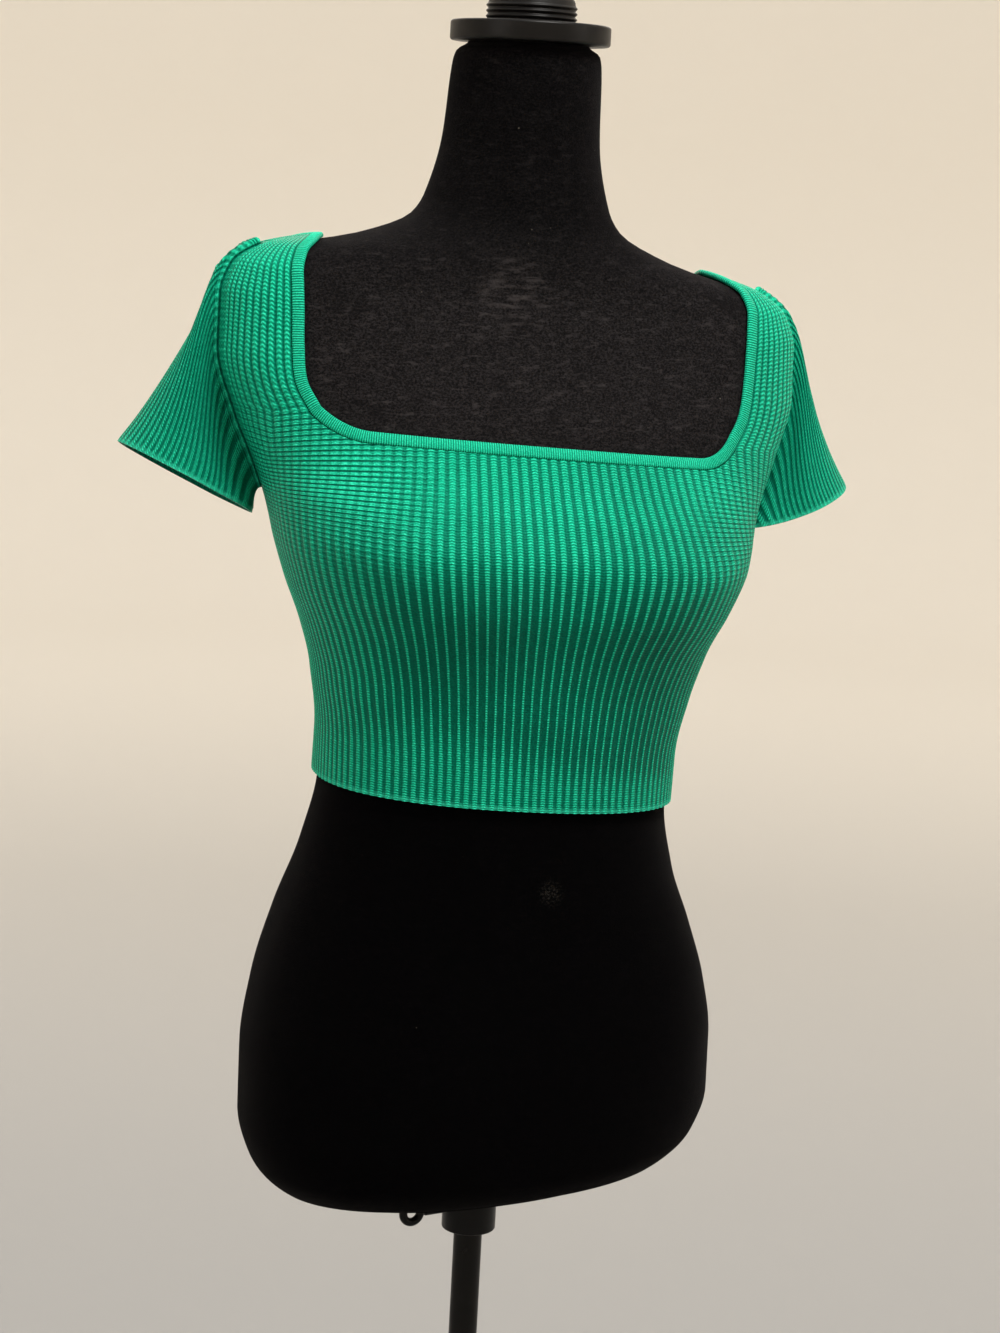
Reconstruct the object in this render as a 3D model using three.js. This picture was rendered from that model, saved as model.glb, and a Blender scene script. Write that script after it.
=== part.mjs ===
// A cropped rib-knit top with a square neck and short sleeves, worn by a limbless velvet dress form on a pole.
// Millimetres, +Z up, the form's front towards -Y. The origin is the middle of the base's underside.
// The wearer's left is towards +X.

import * as THREE from 'three';

const { abs, min, max, sin, cos, acos, atan2, hypot, sqrt, exp, PI } = Math;

// Heights. A drop is measured down from the middle of the neck cap.
const CAP_HEIGHT = 1480;
const HEM_DROP = 479.5;
const UNDERARM_DROP = 300;
const ARMHOLE_TOP_DROP = 151;
const FORM_TOP_DROP = 6.6;
const FORM_BOTTOM_DROP = 744;

// Cloth
const CLOTH_GAP = 1.9;
const WALL = 1.4;
const RIB_RISE = 0.9;
const SEAM_GAP = 0.3;
const SIDE_SEAM_Y = 19;
const SHOULDER_SEAM_Y = 10;

// Neckline, at the panels' edge. The band fills the next few millimetres of the opening.
const NECK_HALF = 150;
const NECK_CORNER = 50;
const NECK_SHIFT = -6; // the worn neckline sits a little towards the wearer's right
const SHOULDER_NECK = { x: 128, y: SHOULDER_SEAM_Y, drop: 141 };
const BAND_WIDTH = 7.7;
const BAND_THICK = 2.4;
const BAND_CORNER = 1.2;

// Sleeves, given for the wearer's left
const SLEEVE_RIBS = 52;
const SLEEVE_ROWS = 5;
const SLEEVE_STAND = 3.6;
const ARMHOLE_MIDDLE = { x: 183, y: 28, drop: 222 };
const CUFF_CENTRE = { x: 204, y: 30, drop: 292 };
const CUFF_HANG = 6; // the wearer's right sleeve hangs this much lower, and the left one higher
const CUFF_LONG = { half: 45.5, x: 0.845, y: 0.406, z: 0.36 };
const CUFF_SHORT = { half: 35, x: 0.402, y: -0.914, z: 0.087 };
const PUFF = { under: 6, top: 17 };
const FLARE = { under: 3, top: 58 };
const FALL_UNDER = { x: 0.4, y: -0.3, z: -0.87 };
const FALL_TOP = { x: 0.62, y: 0.1, z: -0.78 };

// Panels. Rows are counted up the cloth: hem to underarm, underarm to neckline, and on up the straps.
// armhole is how far the armhole's edge bows from the line between the underarm and the shoulder.
const FRONT = {
  facing: -1,
  ribs: 68,
  strapRibs: 12,
  neckDrop: 260,
  armhole: 8,
  rowsBelow: 7,
  rowsAbove: 2,
  strapRows: 9,
  strapEdge: [
    { x: 146.2, y: -48, drop: 229 },
    { x: 150, y: -42, drop: 206 },
    { x: 147.5, y: -33, drop: 176 },
    { x: 139, y: -14, drop: 151 },
  ],
};
const BACK = {
  facing: 1,
  ribs: 56,
  strapRibs: 12,
  neckDrop: 215,
  armhole: 34,
  rowsBelow: 7,
  rowsAbove: 3,
  strapRows: 6,
  strapEdge: [
    { x: 150, y: 76, drop: 182 },
    { x: 141, y: 44, drop: 154 },
  ],
};
const COLUMNS_PER_RIB = 2;
const INNER_STEP = 4;

// The form's sections: half width, front and back from the pole's axis, and how square the oval is
const FORM_LEVELS = [
  { drop: 6.6, half: 38, front: -37, back: 42, square: 2.0 },
  { drop: 12, half: 45, front: -43.5, back: 49.5, square: 2.0 },
  { drop: 20, half: 47, front: -44, back: 53, square: 2.0 },
  { drop: 66, half: 50, front: -42, back: 60, square: 2.0 },
  { drop: 105, half: 59, front: -46, back: 70, square: 2.05 },
  { drop: 118, half: 67, front: -50, back: 74, square: 2.1 },
  { drop: 135, half: 105, front: -57, back: 80, square: 2.2 },
  { drop: 142, half: 135, front: -60, back: 82, square: 2.3 },
  { drop: 150, half: 163, front: -59, back: 84, square: 2.3 },
  { drop: 162, half: 180, front: -61, back: 86, square: 2.35 },
  { drop: 180, half: 186, front: -64, back: 88, square: 2.35 },
  { drop: 210, half: 186, front: -70, back: 90, square: 2.35 },
  { drop: 250, half: 174, front: -82, back: 92, square: 2.4 },
  { drop: 280, half: 161, front: -95, back: 92, square: 2.5 },
  { drop: 300, half: 154, front: -105, back: 91, square: 2.5 },
  { drop: 325, half: 148, front: -113, back: 89, square: 2.5 },
  { drop: 350, half: 139, front: -110, back: 86, square: 2.5 },
  { drop: 380, half: 127, front: -101, back: 83, square: 2.4 },
  { drop: 410, half: 119, front: -94, back: 81, square: 2.35 },
  { drop: 450, half: 114, front: -89, back: 82, square: 2.3 },
  { drop: 480, half: 114, front: -87, back: 86, square: 2.3 },
  { drop: 526, half: 123, front: -88, back: 96, square: 2.3 },
  { drop: 568, half: 138, front: -92, back: 108, square: 2.35 },
  { drop: 610, half: 150, front: -98, back: 117, square: 2.4 },
  { drop: 652, half: 156, front: -103, back: 120, square: 2.4 },
  { drop: 692, half: 156, front: -104, back: 118, square: 2.4 },
  { drop: 718, half: 149, front: -100, back: 112, square: 2.35 },
  { drop: 737, half: 132, front: -87, back: 98, square: 2.3 },
  { drop: 744, half: 113, front: -72, back: 83, square: 2.2 },
];
const FORM_SIDES = 30;

// The bust is two soft swells in the section, this far round from the front, with the cloth taut between them.
const BUST = { rise: 0.085, round: 0.72, spread: 0.42, drop: 324, height: 46 };

// The form leans down to the wearer's left at the chest, and down to the wearer's right at the hips.
const LEAN = 0.0524;
const LEAN_LEVELS = [
  { drop: 8, share: 0 },
  { drop: 66, share: 0.7 },
  { drop: 150, share: 1 },
  { drop: 480, share: 1 },
  { drop: 650, share: -1 },
  { drop: 744, share: -1.7 },
];

// Stand
const CAP = { radius: 50.5, thick: 12.5, edge: 1.6 };
const NUT = { radius: 31, collar: 27.5, thread: 1.2, rings: 3, pitch: 3.4, dome: 20, height: 21 };
const POLE_RADIUS = 9.5;
const CLAMP = { radius: 18, height: 37, edge: 1.5, drop: 747.5 };
const SCREW = { radius: 3.4, from: 18.3, reach: 44.5, drop: 768, yaw: PI + 0.28 };
const EYE = { radius: 6.5, wire: 2.8 };
const BASE = { radius: 165, thick: 12, edge: 3 };
const BASE_COLLAR = { radius: 20, height: 26, edge: 2 };
const ROUND_SIDES = 24;

const vec = (x, y, z) => new THREE.Vector3(x, y, z);
const lerp = (a, b, t) => a + (b - a) * t;
const clamp = (value, low, high) => min(max(value, low), high);
const heightOf = (drop) => CAP_HEIGHT - drop;
const placeOf = ({ x, y, drop }) => vec(x, y, heightOf(drop));

const knit = (name) => new THREE.MeshStandardMaterial({ name, color: 0x17a37c, roughness: 0.55, metalness: 0 });
const velvet = () => new THREE.MeshStandardMaterial({ name: 'velvet', color: 0x141112, roughness: 0.95 });
const plastic = () => new THREE.MeshStandardMaterial({ name: 'plastic', color: 0x161616, roughness: 0.45 });
const blackMetal = () => new THREE.MeshStandardMaterial({ name: 'metal', color: 0x1a1a1b, roughness: 0.4, metalness: 0.6 });

// A smooth curve through one column of a table, which never swings past its rows
function smoothColumn(rows, name) {
  const at = rows.map((row) => row.drop);
  const value = rows.map((row) => row[name]);
  const rate = (i) => (value[i + 1] - value[i]) / (at[i + 1] - at[i]);
  const slope = at.map((_, i) => {
    if (i === 0 || i === at.length - 1) return 0;
    const before = rate(i - 1);
    const after = rate(i);
    return before * after <= 0 ? 0 : (2 * before * after) / (before + after);
  });
  return (drop) => {
    const d = clamp(drop, at[0], at[at.length - 1]);
    const i = max(at.findIndex((level) => level >= d) - 1, 0);
    const step = at[i + 1] - at[i];
    const t = (d - at[i]) / step;
    const ease = t * t * (3 - 2 * t);
    const leave = t * (1 - t) * (1 - t) * step * slope[i];
    const arrive = t * t * (t - 1) * step * slope[i + 1];
    return lerp(value[i], value[i + 1], ease) + leave + arrive;
  };
}

const halfAt = smoothColumn(FORM_LEVELS, 'half');
const frontAt = smoothColumn(FORM_LEVELS, 'front');
const backAt = smoothColumn(FORM_LEVELS, 'back');
const squareAt = smoothColumn(FORM_LEVELS, 'square');
const leanAt = smoothColumn(LEAN_LEVELS, 'share');
const middleAt = (z) => (frontAt(CAP_HEIGHT - z) + backAt(CAP_HEIGHT - z)) / 2;

// The form's surface: an angle round the section, 0 at the wearer's left, and a height
function radiusAt(angle, z) {
  const drop = CAP_HEIGHT - z;
  const square = squareAt(drop);
  const depth = (backAt(drop) - frontAt(drop)) / 2;
  const oval = abs(cos(angle) / halfAt(drop)) ** square + abs(sin(angle) / depth) ** square;
  const fromFront = acos(clamp(-sin(angle), -1, 1));
  const swell = exp(-(((fromFront - BUST.round) / BUST.spread) ** 2) - ((drop - BUST.drop) / BUST.height) ** 2);
  return oval ** (-1 / square) * (1 + BUST.rise * swell);
}

function onForm(angle, z) {
  const radius = radiusAt(angle, z);
  return vec(radius * cos(angle), middleAt(z) + radius * sin(angle), z);
}

// Under 0 inside the form, over 0 outside it
function outside(point) {
  const y = point.y - middleAt(point.z);
  return hypot(point.x, y) / radiusAt(atan2(y, point.x), point.z) - 1;
}

function normalAt(point) {
  const step = 0.4;
  const along = (x, y, z) => {
    const move = vec(x, y, z).multiplyScalar(step);
    return outside(point.clone().add(move)) - outside(point.clone().sub(move));
  };
  return vec(along(1, 0, 0), along(0, 1, 0), along(0, 0, 1)).normalize();
}

// Moves a point that is near the form onto it, along the line from inside the chest or shoulder
function ontoForm(point) {
  const chest = heightOf(230);
  const z = min(point.z, chest);
  const sideways = 0.6 * clamp((point.z - heightOf(UNDERARM_DROP)) / 70, 0, 1);
  const core = vec(point.x * sideways, middleAt(z), z);
  const ray = point.clone().sub(core);
  let low = 0;
  let high = 2;
  for (let i = 0; i < 40; i++) {
    const half = (low + high) / 2;
    if (outside(core.clone().addScaledVector(ray, half)) < 0) low = half;
    else high = half;
  }
  return core.addScaledVector(ray, low);
}

const raised = (point, distance) => point.clone().addScaledVector(normalAt(point), distance);

function leaned(point) {
  return vec(point.x, point.y, point.z - LEAN * point.x * leanAt(CAP_HEIGHT - point.z));
}

// A growing list of corners and triangles
class Skin {
  constructor() {
    this.corners = [];
    this.faces = [];
  }

  add(point) {
    this.corners.push(point.x, point.y, point.z);
    return this.corners.length / 3 - 1;
  }

  quad(a, b, c, d) {
    this.faces.push(a, b, c, a, c, d);
  }

  // Closes the strip between a fine run of the outer edge and the single step of the inner edge beside it
  rim(outer, innerStart, innerEnd) {
    const turn = (outer.length - 1) >> 1;
    for (let i = 0; i < outer.length - 1; i++) {
      if (i === turn) this.faces.push(innerStart, innerEnd, outer[i]);
      this.faces.push(outer[i + 1], outer[i], i < turn ? innerStart : innerEnd);
    }
  }

  geometry(flip = false) {
    const geometry = new THREE.BufferGeometry();
    const faces = flip ? this.faces.slice().reverse() : this.faces;
    geometry.setAttribute('position', new THREE.Float32BufferAttribute(this.corners, 3));
    geometry.setIndex(faces);
    geometry.computeVertexNormals();
    return geometry;
  }
}

// Armhole: a tall oval on the form's side. turn is 0 at the underarm and PI at the shoulder.
const armholeHalf = (UNDERARM_DROP - ARMHOLE_TOP_DROP) / 2;
const armholeCentre = heightOf((UNDERARM_DROP + ARMHOLE_TOP_DROP) / 2);
const armholeTurnAt = (z) => acos(clamp((armholeCentre - z) / armholeHalf, -1, 1));

function armholeY(panel, turn) {
  const middle = lerp(SIDE_SEAM_Y, SHOULDER_SEAM_Y, (1 - cos(turn)) / 2);
  return middle + panel.facing * (panel.armhole * sin(turn) + SEAM_GAP / 2);
}

function armholePoint(panel, turn) {
  const z = armholeCentre - armholeHalf * cos(turn);
  return ontoForm(vec(0.97 * halfAt(CAP_HEIGHT - z), armholeY(panel, turn), z));
}

// The angle at which a section reaches a given y on the wearer's left side
function sideAngle(z, y) {
  let low = -1.3;
  let high = 1.3;
  for (let i = 0; i < 40; i++) {
    const half = (low + high) / 2;
    if (onForm(half, z).y < y) low = half;
    else high = half;
  }
  return low;
}

function edgeY(panel, z) {
  if (z > heightOf(UNDERARM_DROP)) return armholeY(panel, armholeTurnAt(z));
  return SIDE_SEAM_Y + (panel.facing * SEAM_GAP) / 2;
}

// A panel's stretch of a section, as a fine run of angles with the length up to each
function stretchAt(panel, z) {
  const edge = sideAngle(z, edgeY(panel, z));
  const start = panel.facing < 0 ? PI - edge : edge;
  const end = panel.facing < 0 ? 2 * PI + edge : PI - edge;
  const steps = 60;
  const angles = [start];
  const lengths = [0];
  let last = onForm(start, z);
  for (let i = 1; i <= steps; i++) {
    const angle = lerp(start, end, i / steps);
    const next = onForm(angle, z);
    angles.push(angle);
    lengths.push(lengths[i - 1] + next.distanceTo(last));
    last = next;
  }
  return { angles, lengths };
}

function readRun(from, to, value) {
  const i = clamp(from.findIndex((entry) => entry >= value), 1, from.length - 1);
  return lerp(to[i - 1], to[i], (value - from[i - 1]) / (from[i] - from[i - 1]));
}

function angleAtShare({ angles, lengths }, share) {
  return readRun(lengths, angles, share * lengths[lengths.length - 1]);
}

// How far the neckline's rounded corner has risen above its bottom edge
function cornerRise(x) {
  const into = clamp(abs(x - NECK_SHIFT) - (NECK_HALF - NECK_CORNER), 0, NECK_CORNER);
  return NECK_CORNER - sqrt(NECK_CORNER ** 2 - into ** 2);
}

// What a panel's columns need: where each one ends at the top, and the strap's two edges
function planPanel(panel) {
  const columns = panel.ribs * COLUMNS_PER_RIB;
  const strap = panel.strapRibs * COLUMNS_PER_RIB;
  const bottom = heightOf(panel.neckDrop);
  const corner = {
    x: NECK_HALF - NECK_CORNER * (1 - Math.SQRT1_2),
    z: bottom + NECK_CORNER * (1 - Math.SQRT1_2),
  };
  const stretch = stretchAt(panel, corner.z);
  const total = stretch.lengths[stretch.lengths.length - 1];
  const fromMiddle = stretch.angles.map((angle) => abs(onForm(angle, corner.z).x - NECK_SHIFT));
  const cornerShare = (first) => {
    const order = (i) => (first ? i : fromMiddle.length - 1 - i);
    const inside = fromMiddle.findIndex((_, i) => fromMiddle[order(i)] < corner.x);
    const [before, after] = [order(inside - 1), order(inside)];
    const within = (fromMiddle[before] - corner.x) / (fromMiddle[before] - fromMiddle[after]);
    return lerp(stretch.lengths[before], stretch.lengths[after], within) / total;
  };
  const corners = { first: cornerShare(true), last: cornerShare(false) };
  const topShare = (column) => {
    if (column <= strap) return (corners.first * column) / strap;
    if (column >= columns - strap) return 1 - ((1 - corners.last) * (columns - column)) / strap;
    return lerp(corners.first, corners.last, (column - strap) / (columns - 2 * strap));
  };
  const neckEdge = (share, side) => {
    const cornerPoint = onForm(angleAtShare(stretch, share), corner.z);
    const marks = panel.strapEdge.map((mark, i) => {
      const shift = NECK_SHIFT * (1 - (i + 1) / (panel.strapEdge.length + 1));
      return placeOf({ ...mark, x: side * mark.x + shift });
    });
    const shoulder = placeOf({ ...SHOULDER_NECK, x: side * SHOULDER_NECK.x });
    shoulder.y += (panel.facing * SEAM_GAP) / 2;
    const run = [cornerPoint, ...marks, shoulder].map(ontoForm);
    return new THREE.CatmullRomCurve3(run, false, 'centripetal');
  };
  const neckEdges = {
    first: neckEdge(corners.first, panel.facing),
    last: neckEdge(corners.last, -panel.facing),
  };
  return { panel, columns, strap, corner, bottom, stretch, topShare, neckEdges };
}

function bodyPoint(plan, column, row) {
  const { panel, columns, strap, corner, bottom, stretch, topShare } = plan;
  const onStrap = column <= strap || column >= columns - strap;
  const share = topShare(column);
  const topX = onForm(angleAtShare(stretch, share), corner.z).x;
  const top = onStrap ? corner.z : bottom + cornerRise(topX);
  const hem = heightOf(HEM_DROP);
  const underarm = heightOf(UNDERARM_DROP);
  const low = row / panel.rowsBelow;
  const z = low <= 1 ? lerp(hem, underarm, low) : lerp(underarm, top, (row - panel.rowsBelow) / panel.rowsAbove);
  const climb = (z - hem) / (top - hem);
  return onForm(angleAtShare(stretchAt(panel, z), lerp(column / columns, share, climb)), z);
}

function strapPoint(plan, column, row) {
  const { panel, columns, strap, corner, neckEdges } = plan;
  const first = column <= strap;
  const across = (first ? column : columns - column) / strap;
  const up = (row - panel.rowsBelow - panel.rowsAbove) / panel.strapRows;
  const turn = lerp(armholeTurnAt(corner.z), PI, up);
  const armEdge = armholePoint(panel, turn);
  armEdge.x *= first ? panel.facing : -panel.facing;
  const neckEdge = first ? neckEdges.first : neckEdges.last;
  return ontoForm(armEdge.lerp(neckEdge.getPointAt(up), across));
}

function panelPoint(plan, column, row) {
  const bodyRows = plan.panel.rowsBelow + plan.panel.rowsAbove;
  return row <= bodyRows ? bodyPoint(plan, column, row) : strapPoint(plan, column, row);
}

// A panel: ribs up its outer face, a plain inner face, and the edges closed round the neck and armholes
function panelGeometry(plan) {
  const { panel, columns, strap } = plan;
  const skin = new Skin();
  const bodyRows = panel.rowsBelow + panel.rowsAbove;
  const rows = bodyRows + panel.strapRows;
  const outer = new Map();
  const inner = new Map();
  const key = (column, row) => row * 1000 + column;
  for (let row = 0; row <= rows; row++) {
    for (let column = 0; column <= columns; column++) {
      if (row > bodyRows && column > strap && column < columns - strap) continue;
      const point = panelPoint(plan, column, row);
      const rise = column % 2 ? RIB_RISE : 0;
      outer.set(key(column, row), skin.add(leaned(raised(point, CLOTH_GAP + WALL + rise))));
      if (column % INNER_STEP) continue;
      inner.set(key(column, row), skin.add(leaned(raised(point, CLOTH_GAP))));
    }
  }
  const out = (column, row) => outer.get(key(column, row));
  const inn = (column, row) => inner.get(key(column, row));
  const blocks = [
    [0, columns, 0, bodyRows],
    [0, strap, bodyRows, rows],
    [columns - strap, columns, bodyRows, rows],
  ];
  for (const [from, to, low, high] of blocks) {
    for (let r = low; r < high; r++) {
      for (let c = from; c < to; c++) skin.quad(out(c, r), out(c + 1, r), out(c + 1, r + 1), out(c, r + 1));
      for (let c = from; c < to; c += INNER_STEP) {
        const next = c + INNER_STEP;
        skin.quad(inn(c, r + 1), inn(next, r + 1), inn(next, r), inn(c, r));
      }
    }
  }
  const across = (from, to, row) => {
    const step = from < to ? 1 : -1;
    for (let c = from; c !== to; c += step * INNER_STEP) {
      const run = Array.from({ length: INNER_STEP + 1 }, (_, i) => out(c + step * i, row));
      skin.rim(run, inn(c, row), inn(c + step * INNER_STEP, row));
    }
  };
  const along = (column, from, to) => {
    const step = from < to ? 1 : -1;
    for (let r = from; r !== to; r += step) {
      skin.rim([out(column, r), out(column, r + step)], inn(column, r), inn(column, r + step));
    }
  };
  across(0, columns, 0);
  along(columns, 0, rows);
  across(columns, columns - strap, rows);
  along(columns - strap, rows, bodyRows);
  across(columns - strap, strap, bodyRows);
  along(strap, bodyRows, rows);
  across(strap, 0, rows);
  along(0, rows, 0);
  return skin.geometry();
}

// The armhole's edge on the panels, from the underarm up the front and down the back, as the panels have it
function armholeRun() {
  const turnsOf = (plan) => {
    const { panel, corner } = plan;
    const turns = [];
    for (let row = 0; row < panel.rowsAbove; row++) {
      turns.push(armholeTurnAt(lerp(heightOf(UNDERARM_DROP), corner.z, row / panel.rowsAbove)));
    }
    for (let row = 0; row <= panel.strapRows; row++) {
      turns.push(lerp(armholeTurnAt(corner.z), PI, row / panel.strapRows));
    }
    return turns;
  };
  const front = turnsOf(frontPlan).map((turn) => ({ turn, at: armholePoint(FRONT, turn) }));
  const back = turnsOf(backPlan).map((turn) => ({ turn: 2 * PI - turn, at: armholePoint(BACK, turn) }));
  const run = [...front, ...back.slice(0, -1).reverse()];
  const lengths = [0];
  for (let i = 1; i < run.length; i++) lengths.push(lengths[i - 1] + run[i].at.distanceTo(run[i - 1].at));
  return { run, lengths, total: lengths[lengths.length - 1] };
}

function armholeAt({ run, lengths, total }, share) {
  const length = (((share % 1) + 1) % 1) * total;
  const i = clamp(lengths.findIndex((entry) => entry >= length), 1, run.length - 1);
  const t = (length - lengths[i - 1]) / (lengths[i] - lengths[i - 1]);
  return { turn: lerp(run[i - 1].turn, run[i].turn, t), at: run[i - 1].at.clone().lerp(run[i].at, t) };
}

// A sleeve's plain inner face on the wearer's left: it stands up out of the armhole, swells, and falls to the cuff
function sleevePoint(armhole, share, row, side) {
  const { turn, at } = armholeAt(armhole, share);
  const edge = ontoForm(at);
  const normal = normalAt(edge);
  const before = armholeAt(armhole, share - 0.02).at;
  const after = armholeAt(armhole, share + 0.02).at;
  const inward = after.sub(before).normalize().cross(normal).normalize();
  if (inward.dot(placeOf(ARMHOLE_MIDDLE).sub(edge)) < 0) inward.negate();
  const inset = SEAM_GAP + WALL + RIB_RISE + 0.8;
  const root = ontoForm(edge.clone().addScaledVector(inward, inset)).addScaledVector(normal, CLOTH_GAP);
  if (row === 0) return root;
  const start = root.addScaledVector(normal, SLEEVE_STAND);
  const high = sin(turn / 2) ** 2;
  const cuff = placeOf({ ...CUFF_CENTRE, drop: CUFF_CENTRE.drop - side * CUFF_HANG });
  cuff.addScaledVector(vec(CUFF_LONG.x, CUFF_LONG.y, CUFF_LONG.z), -CUFF_LONG.half * cos(turn));
  cuff.addScaledVector(vec(CUFF_SHORT.x, CUFF_SHORT.y, CUFF_SHORT.z), CUFF_SHORT.half * sin(turn));
  const fall = vec(FALL_UNDER.x, FALL_UNDER.y, FALL_UNDER.z).lerp(vec(FALL_TOP.x, FALL_TOP.y, FALL_TOP.z), high);
  const leave = start.clone().addScaledVector(normal, lerp(PUFF.under, PUFF.top, high));
  const arrive = cuff.clone().addScaledVector(fall, -lerp(FLARE.under, FLARE.top, high));
  return new THREE.CubicBezierCurve3(start, leave, arrive, cuff).getPoint((row - 1) / SLEEVE_ROWS);
}

function sleeveGeometry(armhole, side) {
  const skin = new Skin();
  const columns = SLEEVE_RIBS * COLUMNS_PER_RIB;
  const rows = SLEEVE_ROWS + 1;
  const plain = [];
  for (let row = 0; row <= rows; row++) {
    plain.push(Array.from({ length: columns }, (_, c) => sleevePoint(armhole, (c + 0.5) / columns, row, side)));
  }
  const wrap = (column) => (column + columns) % columns;
  const outward = (column, row) => {
    const round = plain[row][wrap(column + 2)].clone().sub(plain[row][wrap(column - 2)]);
    const down = plain[min(row + 1, rows)][column].clone().sub(plain[max(row - 1, 0)][column]);
    return down.cross(round).normalize();
  };
  const finish = (point) => leaned(vec(point.x * side, point.y, point.z));
  const outer = plain.map((ring, row) => ring.map((point, column) => {
    const thick = WALL + (column % 2 ? RIB_RISE : 0);
    return skin.add(finish(point.clone().addScaledVector(outward(column, row), thick)));
  }));
  const inner = plain.map((ring) => ring.map((point, column) => (column % INNER_STEP ? -1 : skin.add(finish(point)))));
  for (let r = 0; r < rows; r++) {
    for (let c = 0; c < columns; c++) {
      skin.quad(outer[r][wrap(c + 1)], outer[r][c], outer[r + 1][c], outer[r + 1][wrap(c + 1)]);
    }
    for (let c = 0; c < columns; c += INNER_STEP) {
      const next = wrap(c + INNER_STEP);
      skin.quad(inner[r + 1][next], inner[r + 1][c], inner[r][c], inner[r][next]);
    }
  }
  for (let c = 0; c < columns; c += INNER_STEP) {
    const run = Array.from({ length: INNER_STEP + 1 }, (_, i) => wrap(c + i));
    const next = wrap(c + INNER_STEP);
    skin.rim(run.map((column) => outer[rows][column]), inner[rows][c], inner[rows][next]);
    skin.rim(run.map((column) => outer[0][column]).reverse(), inner[0][next], inner[0][c]);
  }
  return skin.geometry(side < 0);
}

// The neckline's edge on the panels, once round, as points on the form
function neckRun() {
  const edge = [];
  const bottomStep = 4;
  const addSide = (plan) => {
    const { panel, columns, strap, neckEdges } = plan;
    const bodyRows = panel.rowsBelow + panel.rowsAbove;
    const steps = panel.strapRows;
    const read = (curve) => Array.from({ length: steps }, (_, i) => curve.getPointAt((i + 1) / steps));
    const first = read(neckEdges.first);
    const last = read(neckEdges.last);
    edge.push(...first.reverse().slice(1));
    for (let c = strap; c <= columns - strap; c += bottomStep) edge.push(panelPoint(plan, c, bodyRows));
    edge.push(...last);
  };
  addSide(frontPlan);
  addSide(backPlan);
  return edge.map(ontoForm);
}

function bandGeometry() {
  const edge = neckRun();
  const skin = new Skin();
  const half = BAND_WIDTH / 2;
  const flat = half - BAND_CORNER;
  const section = [
    { across: -half, up: 0 },
    { across: half, up: 0 },
    { across: half, up: BAND_THICK - BAND_CORNER },
    { across: flat, up: BAND_THICK },
    { across: -flat, up: BAND_THICK },
    { across: -half, up: BAND_THICK - BAND_CORNER },
  ];
  const rings = edge.map((point, i) => {
    const before = edge[(i + edge.length - 1) % edge.length];
    const after = edge[(i + 1) % edge.length];
    const normal = normalAt(point);
    const inward = normal.clone().cross(after.clone().sub(before)).normalize();
    const turnBack = point.clone().sub(before).normalize().dot(after.clone().sub(point).normalize());
    const middle = ontoForm(point.clone().addScaledVector(inward, (SEAM_GAP + 0.1 + half) / sqrt((1 + turnBack) / 2)));
    return section.map(({ across, up }) => {
      const place = middle.clone().addScaledVector(inward, across);
      return skin.add(leaned(place.addScaledVector(normal, CLOTH_GAP + up)));
    });
  });
  rings.forEach((ring, i) => {
    const next = rings[(i + 1) % rings.length];
    ring.forEach((corner, j) => {
      const k = (j + 1) % ring.length;
      skin.quad(corner, ring[k], next[k], next[j]);
    });
  });
  return skin.geometry();
}

function formGeometry() {
  const skin = new Skin();
  const rings = FORM_LEVELS.map(({ drop }) => Array.from({ length: FORM_SIDES }, (_, i) => {
    return skin.add(leaned(onForm((2 * PI * i) / FORM_SIDES, heightOf(drop))));
  }));
  for (let r = 0; r + 1 < rings.length; r++) {
    for (let i = 0; i < FORM_SIDES; i++) {
      const k = (i + 1) % FORM_SIDES;
      skin.quad(rings[r + 1][i], rings[r + 1][k], rings[r][k], rings[r][i]);
    }
  }
  const close = (ring, drop, up) => {
    const z = heightOf(drop);
    const hub = skin.add(vec(0, middleAt(z), z));
    for (let i = 0; i < FORM_SIDES; i++) {
      const k = (i + 1) % FORM_SIDES;
      skin.faces.push(hub, ring[up ? i : k], ring[up ? k : i]);
    }
  };
  close(rings[0], FORM_TOP_DROP, true);
  close(rings[rings.length - 1], FORM_BOTTOM_DROP, false);
  return skin.geometry();
}

// A turned piece from a profile of radius and height, which starts and ends on the axis or closes on itself
function turned(profile, sides = ROUND_SIDES) {
  const lathe = new THREE.LatheGeometry(profile.map(([radius, z]) => new THREE.Vector2(radius, z)), sides);
  return lathe.rotateX(PI / 2);
}

function discProfile(radius, low, high, edge) {
  return [
    [0, low],
    [radius - edge, low],
    [radius, low + edge],
    [radius, high - edge],
    [radius - edge, high],
    [0, high],
  ];
}

function tubeProfile(bore, radius, low, high, edge) {
  return [
    [bore, low],
    [radius - edge, low],
    [radius, low + edge],
    [radius, high - edge],
    [radius - edge, high],
    [bore, high],
    [bore, low],
  ];
}

// The knob on the cap: a threaded boss with a low dome
function nutProfile() {
  const low = CAP.thick / 2 + SEAM_GAP;
  const profile = [[0, low], [NUT.radius, low]];
  let z = low + 1;
  profile.push([NUT.radius, z]);
  for (let ring = 0; ring < NUT.rings; ring++) {
    profile.push([NUT.collar, z + 0.4]);
    profile.push([NUT.collar + NUT.thread, z + NUT.pitch / 2]);
    z += NUT.pitch;
  }
  const top = low + NUT.height;
  profile.push([NUT.collar, z + 0.4], [NUT.dome + 5, top - 5], [NUT.dome, top - 1.5], [NUT.dome / 2, top], [0, top]);
  return profile;
}

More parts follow.
